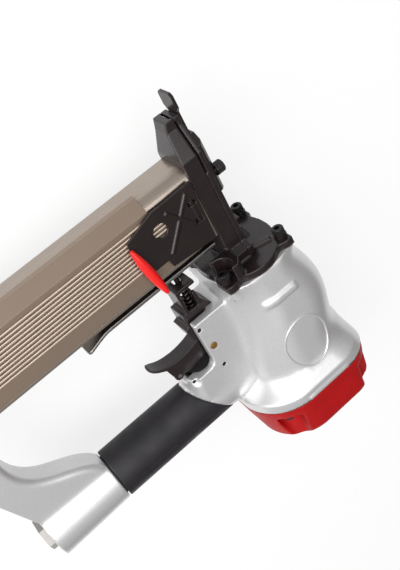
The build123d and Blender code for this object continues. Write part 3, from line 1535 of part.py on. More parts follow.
def pusher_band():
    """Wound band spring that draws the pusher forward."""
    x, z = pusher_middle()
    span = (-band_half_width, band_half_width)
    return rod_y(x, span, z, band_roll_radius) - rod_y(x, span, z, band_drum_radius)


def pusher_drum():
    """Drum inside the band spring."""
    x, z = pusher_middle()
    half = channel_half_width - slide_gap
    return rod_y(x, (-half, half), z, band_drum_radius)


# Latch and release lever


def latch_edge(shape):
    """Place a shape drawn along +X from zero on the latch plate's rear edge, under the red grip."""
    run, rise = latch_edge_run()
    place = Pos(latch_edge_low[0], latch_y + latch_grip_radius, latch_edge_low[1])
    return place * Rot(0, -degrees(atan2(rise, run)), 0) * shape


def latch_edge_run():
    """Length of the latch plate's rear edge along X and along Z."""
    return latch_edge_high[0] - latch_edge_low[0], latch_edge_high[1] - latch_edge_low[1]


def latch_plate():
    """Hinged plate over the magazine's front, with crossed ribs and a round window."""
    thick = (latch_y, latch_outer_y)
    share = (latch_step[1] - latch_edge_low[1]) / latch_edge_run()[1]
    edge_end = (latch_edge_low[0] + share * latch_edge_run()[0], latch_step[1])
    plate = side_plate([*latch_front, latch_edge_low, edge_end, latch_step, latch_heel], thick)
    through = (latch_y - overlap, latch_outer_y + latch_grip_radius)
    plate -= rod_y(latch_window[0], through, latch_window[1], latch_window_radius)
    for start, end in latch_rib_lines:
        plate += bar_between(start, end, latch_rib_width, (latch_y, latch_outer_y + latch_rib_height))
    gap = latch_lug_radius + loose_gap
    reach = latch_lug_height + slide_gap
    lug_span = (latch_hinge_low_z - reach, latch_hinge_high_z + reach)
    plate -= block((latch_hinge_x - gap, latch_hinge_x + gap), through, lug_span)
    knuckle_span = (latch_hinge_low_z + slide_gap, latch_hinge_high_z - slide_gap)
    plate += rod_z(latch_hinge_x, latch_hinge_y, knuckle_span, latch_knuckle_radius)
    bridge = gap + latch_bridge
    plate += block((latch_hinge_x - bridge, latch_hinge_x + bridge), thick, knuckle_span)
    length = hypot(*latch_edge_run())
    spare = length * (1 - latch_roll_share) / 2
    plate += latch_edge(rod_x((spare, length - spare), 0, 0, latch_roll_radius))
    return plate - rod_z(latch_hinge_x, latch_hinge_y, lug_span, latch_pin_radius + pin_gap)


def latch_grip():
    """Red dipped grip along the latch plate's rear edge."""
    length = hypot(*latch_edge_run())
    ends = latch_grip_end_radius
    profile = [
        Line((0, 0), (0, ends)),
        ThreePointArc((0, ends), (length / 2, latch_grip_radius), (length, ends)),
        Line((length, ends), (length, 0)),
        Line((length, 0), (0, 0)),
    ]
    return latch_edge(revolve(make_face(profile), Axis.X)) - latch_plate()


def latch_pin():
    """Pin the latch plate turns on."""
    span = (latch_hinge_low_z - latch_lug_height, latch_hinge_high_z + latch_lug_height)
    return rod_z(latch_hinge_x, latch_hinge_y, span, latch_pin_radius)


def latch_spring():
    """Small spring that holds the latch plate down on the cover."""
    low = magazine_half_width - latch_spring_seat
    spring = coil(latch_spring_radius, latch_spring_wire, latch_y - low, latch_spring_turns)
    return Pos(latch_spring_x, low, latch_spring_z) * Rot(-90, 0, 0) * spring


def release_lever():
    """Steel strip along the magazine's handle side, with its rear tip swept up."""
    bend = lever_rear_x + lever_tip_length
    low = JernArc((bend, lever_z), (-1, 0), lever_tip_radius, -lever_tip_turn)
    high = JernArc((bend, lever_top), (-1, 0), lever_tip_radius, -lever_tip_turn)
    rise = (low % 1) * ((lever_rear_x - (low @ 1).X) / (low % 1).X)
    low_tip, high_tip = low @ 1 + rise, high @ 1 + rise
    outline = [
        Line((lever_front_x, lever_top), (lever_front_x, lever_z)),
        Line((lever_front_x, lever_z), (bend, lever_z)),
        low,
        Line(low @ 1, low_tip),
        Line(low_tip, high_tip),
        Line(high_tip, high @ 1),
        high,
        Line((bend, lever_top), (lever_front_x, lever_top)),
    ]
    width = lever_half_width - lever_inner_y
    strip = Pos(0, lever_half_width, 0) * extrude(Plane.XZ * make_face(outline), width)
    strip = fillet(strip.edges().filter_by(Axis.Z).group_by(Axis.X)[0], lever_tip_corner)
    gap = lever_lug_half_width + slide_gap
    room = lever_ear_radius + loose_gap
    room_x = (lever_pivot_x - room, lever_pivot_x + room)
    strip -= block(room_x, (-gap, gap), (lever_z - overlap, lever_top + overlap))
    ear_x = (lever_pivot_x - lever_ear_radius, lever_pivot_x + lever_ear_radius)
    for side in (-1, 1):
        ear_y = sorted((side * gap, side * (gap + lever_ear_thickness)))
        strip += block(ear_x, ear_y, (lever_z, lever_pivot_z))
        strip += rod_y(lever_pivot_x, ear_y, lever_pivot_z, lever_ear_radius)
    reach = gap + lever_ear_thickness + overlap
    return strip - rod_y(lever_pivot_x, (-reach, reach), lever_pivot_z, lever_pin_radius + pin_gap)


def lever_pin():
    """Pin the release lever turns on."""
    reach = lever_lug_half_width + slide_gap + lever_ear_thickness + loose_gap
    return rod_y(lever_pivot_x, (-reach, reach), lever_pivot_z, lever_pin_radius)


PIECES = {
    "main_body": main_body,
    "grip_sleeve": grip_sleeve,
    "cylinder_sleeve": cylinder_sleeve,
    "cylinder_seals": cylinder_seals,
    "bumper": bumper,
    "piston": piston,
    "piston_ring": piston_ring,
    "driver_blade": driver_blade,
    "driver_pin": driver_pin,
    "nose_base": nose_base,
    "front_plate": front_plate,
    "plate_bolts": plate_bolts,
    "trip_cover": trip_cover,
    "trip_cover_bolts": trip_cover_bolts,
    "base_gasket": base_gasket,
    "base_screws": base_screws,
    "flat_washers": flat_washers,
    "spring_washers": spring_washers,
    "contact_trip": contact_trip,
    "trip_arm": trip_arm,
    "trip_rivets": trip_rivets,
    "trip_spring": trip_spring,
    "trip_bracket": trip_bracket,
    "trigger": trigger,
    "trigger_pin": trigger_pin_piece,
    "contact_lever": contact_lever,
    "contact_pin": contact_pin_piece,
    "trigger_valve_body": trigger_valve_body,
    "valve_stem": valve_stem,
    "valve_spring": valve_spring,
    "roll_pins": roll_pins,
    "head_cap": head_cap,
    "cap_gasket": cap_gasket,
    "cap_screws": cap_screws,
    "head_valve": head_valve,
    "head_valve_seal": head_valve_seal,
    "head_valve_spring": head_valve_spring,
    "exhaust_deflector": exhaust_deflector,
    "exhaust_screw": exhaust_screw,
    "tail_cap": tail_cap,
    "tail_gasket": tail_gasket,
    "tail_screws": tail_screws,
    "inlet_bushing": inlet_bushing,
    "hanger_bolts": hanger_bolts,
    "hanger_nuts": hanger_nuts,
    "magazine_rail": magazine_rail,
    "magazine_end_cap": magazine_end_cap,
    "end_cap_screws": end_cap_screws,
    "magazine_screws": magazine_screws,
    "magazine_cover": magazine_cover,
    "pusher": pusher,
    "pusher_band": pusher_band,
    "pusher_drum": pusher_drum,
    "latch_plate": latch_plate,
    "latch_grip": latch_grip,
    "latch_pin": latch_pin,
    "latch_spring": latch_spring,
    "release_lever": release_lever,
    "lever_pin": lever_pin,
}


def main():
    """Write each piece of the laid tool to its own file."""
    os.makedirs("parts", exist_ok=True)
    for name, make in PIECES.items():
        export_step(LAID * make(), f"parts/{name}.step")


if __name__ == "__main__":
    main()
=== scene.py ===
"""Looks of a hand-held air stapler: painted castings, black nose, rubber grip and anodised magazine."""
import json
import logging
import math
from dataclasses import dataclass, field
from enum import Enum, IntEnum

import bmesh
import bpy
import numpy as np
from mathutils import Euler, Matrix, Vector

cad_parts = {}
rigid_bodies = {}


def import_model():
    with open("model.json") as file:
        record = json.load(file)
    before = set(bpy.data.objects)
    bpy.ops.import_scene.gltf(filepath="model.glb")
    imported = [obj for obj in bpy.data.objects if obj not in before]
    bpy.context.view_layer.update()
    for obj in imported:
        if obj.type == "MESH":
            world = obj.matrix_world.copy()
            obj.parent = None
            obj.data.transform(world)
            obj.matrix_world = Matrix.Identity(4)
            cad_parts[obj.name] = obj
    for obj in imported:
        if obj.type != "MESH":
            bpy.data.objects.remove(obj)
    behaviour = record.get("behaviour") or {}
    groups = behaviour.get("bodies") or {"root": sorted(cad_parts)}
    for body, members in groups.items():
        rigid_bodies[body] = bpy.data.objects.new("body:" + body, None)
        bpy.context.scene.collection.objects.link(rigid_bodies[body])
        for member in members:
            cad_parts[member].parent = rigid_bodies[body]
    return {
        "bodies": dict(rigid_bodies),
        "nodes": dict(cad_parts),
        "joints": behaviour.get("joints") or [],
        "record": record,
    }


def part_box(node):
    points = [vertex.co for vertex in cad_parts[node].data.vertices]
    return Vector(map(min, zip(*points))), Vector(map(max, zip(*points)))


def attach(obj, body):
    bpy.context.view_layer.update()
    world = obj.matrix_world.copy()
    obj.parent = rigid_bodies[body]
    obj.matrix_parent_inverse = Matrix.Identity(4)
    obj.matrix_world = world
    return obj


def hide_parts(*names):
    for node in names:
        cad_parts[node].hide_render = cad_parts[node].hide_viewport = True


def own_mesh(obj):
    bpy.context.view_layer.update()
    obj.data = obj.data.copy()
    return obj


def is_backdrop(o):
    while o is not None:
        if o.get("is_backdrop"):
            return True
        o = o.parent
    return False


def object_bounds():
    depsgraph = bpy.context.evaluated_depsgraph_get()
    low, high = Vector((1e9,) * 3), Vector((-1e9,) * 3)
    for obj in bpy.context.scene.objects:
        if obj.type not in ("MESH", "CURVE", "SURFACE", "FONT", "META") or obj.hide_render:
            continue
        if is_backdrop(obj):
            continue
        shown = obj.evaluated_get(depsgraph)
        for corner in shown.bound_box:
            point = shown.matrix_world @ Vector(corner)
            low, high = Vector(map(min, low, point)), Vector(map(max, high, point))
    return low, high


log = logging.getLogger("stapler")

Colour = tuple[float, float, float]
Triple = tuple[float, float, float]
Limits = tuple[float, float]

SRGB_KNEE = 0.04045
SRGB_SLOPE = 12.92
SRGB_OFFSET = 0.055
SRGB_POWER = 2.4
BROAD_DETAIL = 2.0
FINE_DETAIL = 3.0
PATCH_DETAIL = 4.0
WELD_GAP = 1e-6
PATTERN_OUTPUTS = {"Height": "NodeSocketFloat", "Tone": "NodeSocketFloat"}


def paint(red: int, green: int, blue: int) -> Colour:
    """Turns a screen colour into the linear colour that shaders use.

    Args:
        red: Red from 0 to 255.
        green: Green from 0 to 255.
        blue: Blue from 0 to 255.

    Returns:
        The linear colour, each share from 0 to 1.
    """
    shares = [value / 255 for value in (red, green, blue)]
    return tuple(share / SRGB_SLOPE if share <= SRGB_KNEE
                 else ((share + SRGB_OFFSET) / (1 + SRGB_OFFSET)) ** SRGB_POWER for share in shares)


class Axis(IntEnum):
    """Axes of the frame: X to the back, Y up the drive axis, Z to the left."""

    X = 0
    Y = 1
    Z = 2


class Pattern(Enum):
    """Kinds of fine relief that a finish can carry."""

    FLAKE = "metal_flake"
    CAST = "cast_grain"
    DRAWN = "drawn_lines"
    PEBBLE = "rubber_pebble"


@dataclass(frozen=True)
class Finish:
    """One surface finish and how it varies over a piece."""

    slot: str
    colour: Colour
    second: Colour
    worn_and_sheen: Colour
    pattern: Pattern
    grain: float
    relief: float
    roughness: tuple[float, float]
    metallic: float = 0.0
    edge_radius: float = 0.0004
    # Edge lightening amount: worn finish on most parts, a painted edge highlight on the black casting.
    wear_and_sheen: float = 0.3
    # Corner darkening amount: painted shade in corners and seams, partly dust and oil.
    grime_and_shade: float = 0.5
    reach: float = 0.006
    specular: float = 0.5
    coat: float = 0.0
    coat_roughness: float = 0.2
    label: str = ""


SILVER_PAINT = Finish(
    "body_paint", paint(216, 216, 216), paint(203, 203, 204), paint(230, 230, 230), Pattern.FLAKE,
    grain=0.0006, relief=0.000012, roughness=(0.32, 0.42), metallic=0.62, edge_radius=0.0005, wear_and_sheen=0.1,
    grime_and_shade=0.3, coat=0.3, coat_roughness=0.2)
RED_PAINT = Finish(
    "cap_paint", paint(170, 12, 14), paint(150, 8, 11), paint(192, 36, 34), Pattern.CAST, grain=0.0012,
    relief=0.00006, roughness=(0.42, 0.56), edge_radius=0.0005, wear_and_sheen=0.1, grime_and_shade=0.4, specular=0.22)
GRIP_RUBBER = Finish(
    "grip_rubber", paint(34, 31, 36), paint(22, 20, 24), paint(54, 51, 56), Pattern.PEBBLE, grain=0.0006,
    relief=0.00006, roughness=(0.4, 0.58), edge_radius=0.0005, wear_and_sheen=0.15, grime_and_shade=0.3, specular=0.35)
# Near-black own colour with a warm brown tint that paints a reddish reflection.
# The lighter edge colour and strong edge mask of this finish paint a highlight along its edges.
BLACK_CASTING = Finish(
    "black_casting", paint(36, 27, 28), paint(27, 20, 21), paint(112, 104, 108), Pattern.CAST, grain=0.0014,
    relief=0.000008, roughness=(0.22, 0.28), metallic=0.1, edge_radius=0.0007, wear_and_sheen=0.4, grime_and_shade=0.3,
    specular=0.42, coat=0.12, coat_roughness=0.12)
# Near-black own colour with a warm brown tint that paints a reddish reflection.
BLACK_STEEL = Finish(
    "black_steel", paint(36, 27, 26), paint(27, 21, 21), paint(92, 86, 84), Pattern.CAST, grain=0.0012,
    relief=0.000008, roughness=(0.24, 0.32), metallic=0.2, edge_radius=0.0003, wear_and_sheen=0.04, grime_and_shade=0.35)
BLACK_SCREW = Finish(
    "black_screws", paint(38, 34, 36), paint(28, 25, 27), paint(112, 108, 108), Pattern.CAST, grain=0.0005,
    relief=0.00002, roughness=(0.22, 0.34), metallic=0.5, edge_radius=0.00025, wear_and_sheen=0.5, grime_and_shade=0.4)
BRIGHT_STEEL = Finish(
    "bright_steel", paint(158, 155, 152), paint(140, 137, 134), paint(206, 203, 200), Pattern.DRAWN,
    grain=0.0003, relief=0.000006, roughness=(0.26, 0.36), metallic=1.0, edge_radius=0.0003, wear_and_sheen=0.25,
    grime_and_shade=0.45)
SPRING_STEEL = Finish(
    "spring_steel", paint(96, 88, 84), paint(74, 68, 65), paint(150, 142, 136), Pattern.DRAWN, grain=0.0003,
    relief=0.00001, roughness=(0.25, 0.38), metallic=1.0, edge_radius=0.0001, wear_and_sheen=0.1, grime_and_shade=0.4)
BRASS_PIN = Finish(
    "trigger_pin_metal", paint(206, 166, 100), paint(184, 140, 78), paint(232, 206, 150), Pattern.DRAWN,
    grain=0.0003, relief=0.00001, roughness=(0.22, 0.34), metallic=1.0, edge_radius=0.0002, wear_and_sheen=0.2,
    grime_and_shade=0.3)
LIGHT_ALLOY = Finish(
    "light_alloy", paint(174, 162, 151), paint(162, 150, 140), paint(210, 200, 190), Pattern.DRAWN,
    grain=0.0004, relief=0.000008, roughness=(0.24, 0.32), metallic=0.95, edge_radius=0.0004, wear_and_sheen=0.3,
    grime_and_shade=0.4)
# Its strong corner darkening paints the shade in the rib grooves.
BRONZE_ANODISED = Finish(
    "bronze_anodised", paint(150, 133, 118), paint(141, 125, 110), paint(216, 200, 184), Pattern.DRAWN,
    grain=0.0004, relief=0.000008, roughness=(0.34, 0.44), metallic=0.7, edge_radius=0.0003, wear_and_sheen=0.12,
    grime_and_shade=0.8, reach=0.004)
# A lighter colour for the rib crests, which paints the highlight along each rib.
CREST_HIGHLIGHT = Finish(
    "bronze_anodised", paint(204, 187, 172), paint(196, 179, 164), paint(224, 210, 196), Pattern.DRAWN,
    grain=0.0004, relief=0.000002, roughness=(0.34, 0.42), metallic=0.7, edge_radius=0.0001, wear_and_sheen=0.0,
    grime_and_shade=0.0, label="crest_highlight")
RED_VINYL = Finish(
    "red_vinyl", paint(236, 24, 18), paint(222, 18, 14), paint(246, 60, 48), Pattern.PEBBLE, grain=0.0012,
    relief=0.00001, roughness=(0.16, 0.24), edge_radius=0.0004, wear_and_sheen=0.05, grime_and_shade=0.2, coat=0.6,
    coat_roughness=0.08)
BLACK_PLASTIC = Finish(
    "black_plastic", paint(42, 40, 42), paint(34, 32, 34), paint(74, 72, 74), Pattern.PEBBLE, grain=0.0007,
    relief=0.00003, roughness=(0.42, 0.54), edge_radius=0.0003, wear_and_sheen=0.2, grime_and_shade=0.3)
SEAL_RUBBER = Finish(
    "seal_rubber", paint(34, 33, 34), paint(26, 25, 26), paint(52, 51, 52), Pattern.PEBBLE, grain=0.0006,
    relief=0.00003, roughness=(0.4, 0.55), edge_radius=0.0002, wear_and_sheen=0.05, grime_and_shade=0.2)
GASKET_SHEET = Finish(
    "gasket_sheet", paint(74, 70, 66), paint(60, 57, 54), paint(98, 94, 90), Pattern.PEBBLE, grain=0.0008,
    relief=0.00003, roughness=(0.7, 0.85), edge_radius=0.0001, wear_and_sheen=0.1, grime_and_shade=0.2)

FINISHES = (
    SILVER_PAINT, RED_PAINT, GRIP_RUBBER, BLACK_CASTING, BLACK_STEEL, BLACK_SCREW, BRIGHT_STEEL,
    SPRING_STEEL, BRASS_PIN, LIGHT_ALLOY, BRONZE_ANODISED, RED_VINYL, BLACK_PLASTIC, SEAL_RUBBER,
    GASKET_SHEET)


@dataclass
class NodeBench:
    """Adds and joins nodes in one node tree."""

    tree: bpy.types.NodeTree

    def add(self, kind: str, inputs: dict | None = None, **settings) -> bpy.types.Node:
        """Adds one node.

        Args:
            kind: The node's type name.
            inputs: Values or sockets for its inputs, by name or number.
            **settings: The node's own settings.

        Returns:
            The new node.
        """
        node = self.tree.nodes.new(kind)
        for name, value in settings.items():
            setattr(node, name, value)
        for key, value in (inputs or {}).items():
            self.feed(node.inputs[key], value)
        return node

    def feed(self, socket: bpy.types.NodeSocket, value) -> None:
        """Links a socket to another socket, or sets its plain value."""
        if isinstance(value, bpy.types.NodeSocket):
            self.tree.links.new(value, socket)
        else:
            socket.default_value = value

    def math(self, operation: str, *values) -> bpy.types.NodeSocket:
        """Adds one sum and gives its result."""
        return self.add("ShaderNodeMath", dict(enumerate(values)), operation=operation).outputs[0]

    def noise(self, place: bpy.types.NodeSocket, scale, detail: float) -> bpy.types.NodeSocket:
        """Adds smooth noise of one scale and gives its value."""
        return self.add("ShaderNodeTexNoise", {"Vector": place, "Scale": scale, "Detail": detail}).outputs[0]

    def weigh(self, first: bpy.types.NodeSocket, second: bpy.types.NodeSocket,
              share: float) -> bpy.types.NodeSocket:
        """Adds two values by their weights.

        Args:
            first: The first value.
            second: The second value.
            share: The first value's weight; the second has the rest of 1.

        Returns:
            The weighed sum.
        """
        rest = self.math("MULTIPLY", second, 1.0 - share)
        return self.math("ADD", self.math("MULTIPLY", first, share), rest)

    def span(self, value: bpy.types.NodeSocket, low: float, high: float, start: float = 0.0,
             end: float = 1.0) -> bpy.types.NodeSocket:
        """Maps a value from one range to another.

        Args:
            value: The value to map.
            low: What the start becomes.
            high: What the end becomes.
            start: Where the value's range starts.
            end: Where the value's range ends.

        Returns:
            The mapped value.
        """
        inputs = {"Value": value, "From Min": start, "From Max": end, "To Min": low, "To Max": high}
        return self.add("ShaderNodeMapRange", inputs, clamp=True).outputs["Result"]

    def blend(self, share: bpy.types.NodeSocket, first, second) -> bpy.types.NodeSocket:
        """Mixes two colours.

        Args:
            share: How much of the second colour shows, from 0 to 1.
            first: A colour or a colour socket.
            second: A colour or a colour socket.

        Returns:
            The mixed colour.
        """
        node = self.add("ShaderNodeMix", data_type="RGBA")
        sockets = {socket.identifier: socket for socket in node.inputs}
        for name, value in (("Factor_Float", share), ("A_Color", first), ("B_Color", second)):
            self.feed(sockets[name], (*value, 1.0) if isinstance(value, tuple) else value)
        return next(socket for socket in node.outputs if socket.identifier == "Result_Color")


@dataclass
class FinishShop:
    """Builds the shared shader groups once, and a material for each finish."""

    groups: dict[str, bpy.types.NodeTree] = field(default_factory=dict)
    made: dict[str, bpy.types.Material] = field(default_factory=dict)
    edge_spread: float = 1.6
    edge_limits: Limits = (0.82, 0.995)
    flake_share: float = 0.7
    flake_drift: float = 28.0
    flake_ripple: float = 0.45
    grain_share: float = 0.45
    grain_cloud: float = 60.0
    line_share: float = 0.6
    line_stretch: float = 4.0
    line_cloud: float = 45.0
    line_limits: Limits = (0.2, 0.8)
    pebble_cloud: float = 50.0
    cloud_limits: Limits = (0.35, 0.65)
    # Patches and limits of the edge mask, which shows wear and, on the black casting, a painted highlight.
    wear_and_sheen_patches: float = 240.0
    wear_and_sheen_least: float = 0.35
    wear_and_sheen_limits: Limits = (0.38, 0.58)
    # Patches and limits of the corner darkening, which is painted shade, partly dust.
    grime_and_shade_patches: float = 130.0
    grime_and_shade_least: float = 0.5
    occlusion_limits: Limits = (0.15, 0.75)
    dirt_and_shade_share: float = 0.35
    ray_samples: int = 6
    mask_samples: int = 4

    def prepare(self) -> None:
        """Builds every shared group."""
        self._soft_edges()
        self._metal_flake()
        self._cast_grain()
        self._drawn_lines()
        self._rubber_pebble()
        self._edge_wear_and_sheen()
        self._crevice_grime_and_shade()

    def _start(self, name: str, inputs: tuple[str, ...], outputs: dict[str, str]) -> tuple:
        """Starts a group with its sockets.

        Args:
            name: The group's name.
            inputs: The number inputs, which every material sets.
            outputs: The outputs with their socket types.

        Returns:
            The bench, the group's input sockets and its output sockets.
        """
        tree = bpy.data.node_groups.new(name, "ShaderNodeTree")
        for label in inputs:
            tree.interface.new_socket(label, in_out="INPUT", socket_type="NodeSocketFloat")
        for label, kind in outputs.items():
            tree.interface.new_socket(label, in_out="OUTPUT", socket_type=kind)
        bench = NodeBench(tree)
        self.groups[name] = tree
        return bench, bench.add("NodeGroupInput").outputs, bench.add("NodeGroupOutput").inputs

    def _soft_edges(self) -> None:
        """Rounded normals along hard edges, and a mask of those edges."""
        outputs = {"Normal": "NodeSocketVector", "Edge": "NodeSocketFloat"}
        bench, given, out = self._start("soft_edges", ("Radius",), outputs)
        near = bench.add("ShaderNodeBevel", {"Radius": given["Radius"]}, samples=self.ray_samples)
        bench.feed(out["Normal"], near.outputs["Normal"])
        reach = bench.math("MULTIPLY", given["Radius"], self.edge_spread)
        wide = bench.add("ShaderNodeBevel", {"Radius": reach}, samples=self.mask_samples)
        flat = bench.add("ShaderNodeNewGeometry").outputs["Normal"]
        dot = bench.add("ShaderNodeVectorMath", {0: wide.outputs["Normal"], 1: flat}, operation="DOT_PRODUCT")
        bench.feed(out["Edge"], bench.span(dot.outputs["Value"], 1.0, 0.0, *self.edge_limits))

    def _scaled(self, bench: NodeBench, size: bpy.types.NodeSocket) -> tuple:
        """Object coordinates, and a texture scale for a grain size."""
        return bench.add("ShaderNodeTexCoord").outputs["Object"], bench.math("DIVIDE", 1.0, size)

    def _metal_flake(self) -> None:
        """Sparkling flakes under clear paint, with slow drifts of tone."""
        bench, given, out = self._start("metal_flake", ("Size",), PATTERN_OUTPUTS)
        place, scale = self._scaled(bench, given["Size"])
        flakes = bench.add("ShaderNodeTexVoronoi", {"Vector": place, "Scale": scale})
        sparkle = bench.add("ShaderNodeSeparateColor", {0: flakes.outputs["Color"]}).outputs[0]
        drift = bench.noise(place, self.flake_drift, BROAD_DETAIL)
        ripple = bench.noise(place, bench.math("MULTIPLY", scale, self.flake_ripple), BROAD_DETAIL)
        bench.feed(out["Height"], ripple)
        bench.feed(out["Tone"], bench.weigh(sparkle, drift, self.flake_share))

    def _cast_grain(self) -> None:
        """Fine sand-cast grain with larger clouds of tone."""
        bench, given, out = self._start("cast_grain", ("Size",), PATTERN_OUTPUTS)
        place, scale = self._scaled(bench, given["Size"])
        grain = bench.noise(place, scale, FINE_DETAIL)
        cloud = bench.noise(place, self.grain_cloud, FINE_DETAIL)
        bench.feed(out["Height"], grain)
        tone = bench.weigh(grain, cloud, self.grain_share)
        bench.feed(out["Tone"], bench.span(tone, 0.0, 1.0, *self.cloud_limits))

    def _drawn_lines(self) -> None:
        """Lines that extrusion, drawing or grinding leaves along a part."""
        bench, given, out = self._start("drawn_lines", ("Size",), PATTERN_OUTPUTS)
        place, scale = self._scaled(bench, given["Size"])
        stretch = bench.add("ShaderNodeCombineXYZ", {0: self.line_stretch, 1: scale, 2: scale}).outputs[0]
        along = bench.add("ShaderNodeVectorMath", {0: place, 1: stretch}, operation="MULTIPLY").outputs[0]
        lines = bench.noise(along, 1.0, BROAD_DETAIL)
        cloud = bench.noise(place, self.line_cloud, BROAD_DETAIL)
        bench.feed(out["Height"], lines)
        tone = bench.weigh(lines, cloud, self.line_share)
        bench.feed(out["Tone"], bench.span(tone, 0.0, 1.0, *self.line_limits))

    def _rubber_pebble(self) -> None:
        """Closely packed low pebbles of a moulded skin."""
        bench, given, out = self._start("rubber_pebble", ("Size",), PATTERN_OUTPUTS)
        place, scale = self._scaled(bench, given["Size"])
        pebble = bench.add("ShaderNodeTexVoronoi", {"Vector": place, "Scale": scale}, feature="SMOOTH_F1")
        cloud = bench.noise(place, self.pebble_cloud, FINE_DETAIL)
        bench.feed(out["Height"], bench.math("SUBTRACT", 1.0, pebble.outputs["Distance"]))
        bench.feed(out["Tone"], bench.span(cloud, 0.0, 1.0, *self.cloud_limits))

    def _edge_wear_and_sheen(self) -> None:
        """Where handling has rubbed the finish off along edges, and where a finish paints a highlight along
        its edges.
        """
        bench, given, out = self._start("edge_wear_and_sheen", ("Edge", "Amount"), {"Mask": "NodeSocketFloat"})
        place = bench.add("ShaderNodeTexCoord").outputs["Object"]
        patches = bench.noise(place, self.wear_and_sheen_patches, PATCH_DETAIL)
        left = bench.span(patches, self.wear_and_sheen_least, 1.0, *self.wear_and_sheen_limits)
        broken = bench.math("MULTIPLY", given["Edge"], left)
        bench.feed(out["Mask"], bench.math("MULTIPLY", broken, given["Amount"]))

    def _crevice_grime_and_shade(self) -> None:
        """Painted shade in corners and seams from ambient occlusion, broken into patches like dust and oil.
        """
        bench, given, out = self._start("crevice_grime_and_shade", ("Reach", "Amount"), {"Mask": "NodeSocketFloat"})
        open_sky = bench.add("ShaderNodeAmbientOcclusion", {"Distance": given["Reach"]},
                             samples=self.ray_samples)
        place = bench.add("ShaderNodeTexCoord").outputs["Object"]
        patches = bench.noise(place, self.grime_and_shade_patches, FINE_DETAIL)
        closed = bench.span(open_sky.outputs["AO"], 1.0, 0.0, *self.occlusion_limits)
        left = bench.span(patches, self.grime_and_shade_least, 1.0, *self.cloud_limits)
        patchy = bench.math("MULTIPLY", closed, left)
        bench.feed(out["Mask"], bench.math("MULTIPLY", patchy, given["Amount"]))

    def _place(self, bench: NodeBench, name: str, values: dict) -> bpy.types.bpy_prop_collection:
        """Puts a shared group into a material and gives its outputs."""
        node = bench.add("ShaderNodeGroup", node_tree=self.groups[name])
        for label, value in values.items():
            bench.feed(node.inputs[label], value)
        return node.outputs

    def material(self, finish: Finish) -> bpy.types.Material:
        """Makes a finish's material, or gives the one that is already made.

        Args:
            finish: The finish to make.

        Returns:
            Its material.
        """
        name = "finish_" + (finish.label or finish.slot)
        if name in self.made:
            return self.made[name]
        made = bpy.data.materials.new(name)
        made.use_nodes = True
        made.node_tree.nodes.clear()
        bench = NodeBench(made.node_tree)
        edges = self._place(bench, "soft_edges", {"Radius": finish.edge_radius})
        grain = self._place(bench, finish.pattern.value, {"Size": finish.grain})
        wear_and_sheen = self._place(bench, "edge_wear_and_sheen", {"Edge": edges["Edge"], "Amount": finish.wear_and_sheen})
        grime_and_shade = self._place(bench, "crevice_grime_and_shade", {"Reach": finish.reach, "Amount": finish.grime_and_shade})
        colour = bench.blend(grain["Tone"], finish.colour, finish.second)
        # Lighter edge colour: worn finish on most parts, a painted edge highlight on the black casting.
        colour = bench.blend(wear_and_sheen["Mask"], colour, finish.worn_and_sheen)
        # Darker colour in corners and seams: painted shade, partly dust and oil.
        dirt_and_shade = tuple(self.dirt_and_shade_share * share for share in finish.second)
        colour = bench.blend(grime_and_shade["Mask"], colour, dirt_and_shade)
        bump = bench.add("ShaderNodeBump", {"Height": grain["Height"], "Normal": edges["Normal"],
                                            "Distance": finish.relief, "Strength": 1.0})
        shader = bench.add("ShaderNodeBsdfPrincipled", {
            "Base Color": colour, "Roughness": bench.span(grain["Tone"], *finish.roughness),
            "Metallic": finish.metallic, "Specular IOR Level": finish.specular, "Coat Weight": finish.coat,
            "Coat Roughness": finish.coat_roughness, "Normal": bump.outputs["Normal"]})
        bench.add("ShaderNodeOutputMaterial", {"Surface": shader.outputs["BSDF"]})
        self.made[name] = made
        return made

    def dress(self, piece: bpy.types.Object, finish: Finish) -> None:
        """Gives every material slot of a piece one finish."""
        made = self.material(finish)
        if not piece.material_slots:
            piece.data.materials.append(made)
        for slot in piece.material_slots:
            slot.material = made


def link(name: str, mesh: bpy.types.Mesh) -> bpy.types.Object:
    """Puts a mesh into the scene as a new object at the origin."""
    piece = bpy.data.objects.new(name, mesh)
    bpy.context.scene.collection.objects.link(piece)
    return piece


def body_of(frame: dict, node: str) -> str:
    """Name of the body that carries a CAD node."""
    return next(name for name, nodes in frame["record"]["behaviour"]["bodies"].items() if node in nodes)


def merged(name: str, source: bpy.types.Mesh) -> bpy.types.Mesh:
    """A copy of a CAD mesh with its loose triangles joined.

    Args:
        name: The copy's name.
        source: The CAD node's mesh.

    Returns:
        The joined copy.
    """
    work = bmesh.new()
    work.from_mesh(source)
    bmesh.ops.remove_doubles(work, verts=work.verts, dist=WELD_GAP)
    mesh = bpy.data.meshes.new(name)
    work.to_mesh(mesh)
    work.free()
    return mesh


def stand_in(frame: dict, node: str, ending: str) -> bpy.types.Object:
    """Starts the piece that stands for a CAD node.

    Args:
        frame: The loaded frame.
        node: The CAD node's name.
        ending: What the piece's name adds to it.

    Returns:
        A new object with a joined copy of the node's mesh.
    """
    name = f"{node}_{ending}"
    return link(name, merged(name, frame["nodes"][node].data))


def settled(piece: bpy.types.Object) -> bpy.types.Object:
    """Turns a piece and its modifiers into a plain mesh.

    Args:
        piece: An object with modifiers.

    Returns:
        The same object, with the result as its mesh and no modifiers.
    """
    graph = bpy.context.evaluated_depsgraph_get()
    result = bpy.data.meshes.new_from_object(piece.evaluated_get(graph), depsgraph=graph)
    piece.modifiers.clear()
    piece.data = result
    return piece


@dataclass(frozen=True)
class Zone:
    """A round bar of space, along one axis, in which a casting keeps its machined edges."""

    axis: Axis
    centre: tuple[float, float]
    radius: float

    def holds(self, points: np.ndarray) -> np.ndarray:
        """Tells which points lie in the zone."""
        across = [index for index in range(3) if index != self.axis]
        offset = points[:, across] - np.array(self.centre)
        return np.hypot(offset[:, 0], offset[:, 1]) < self.radius


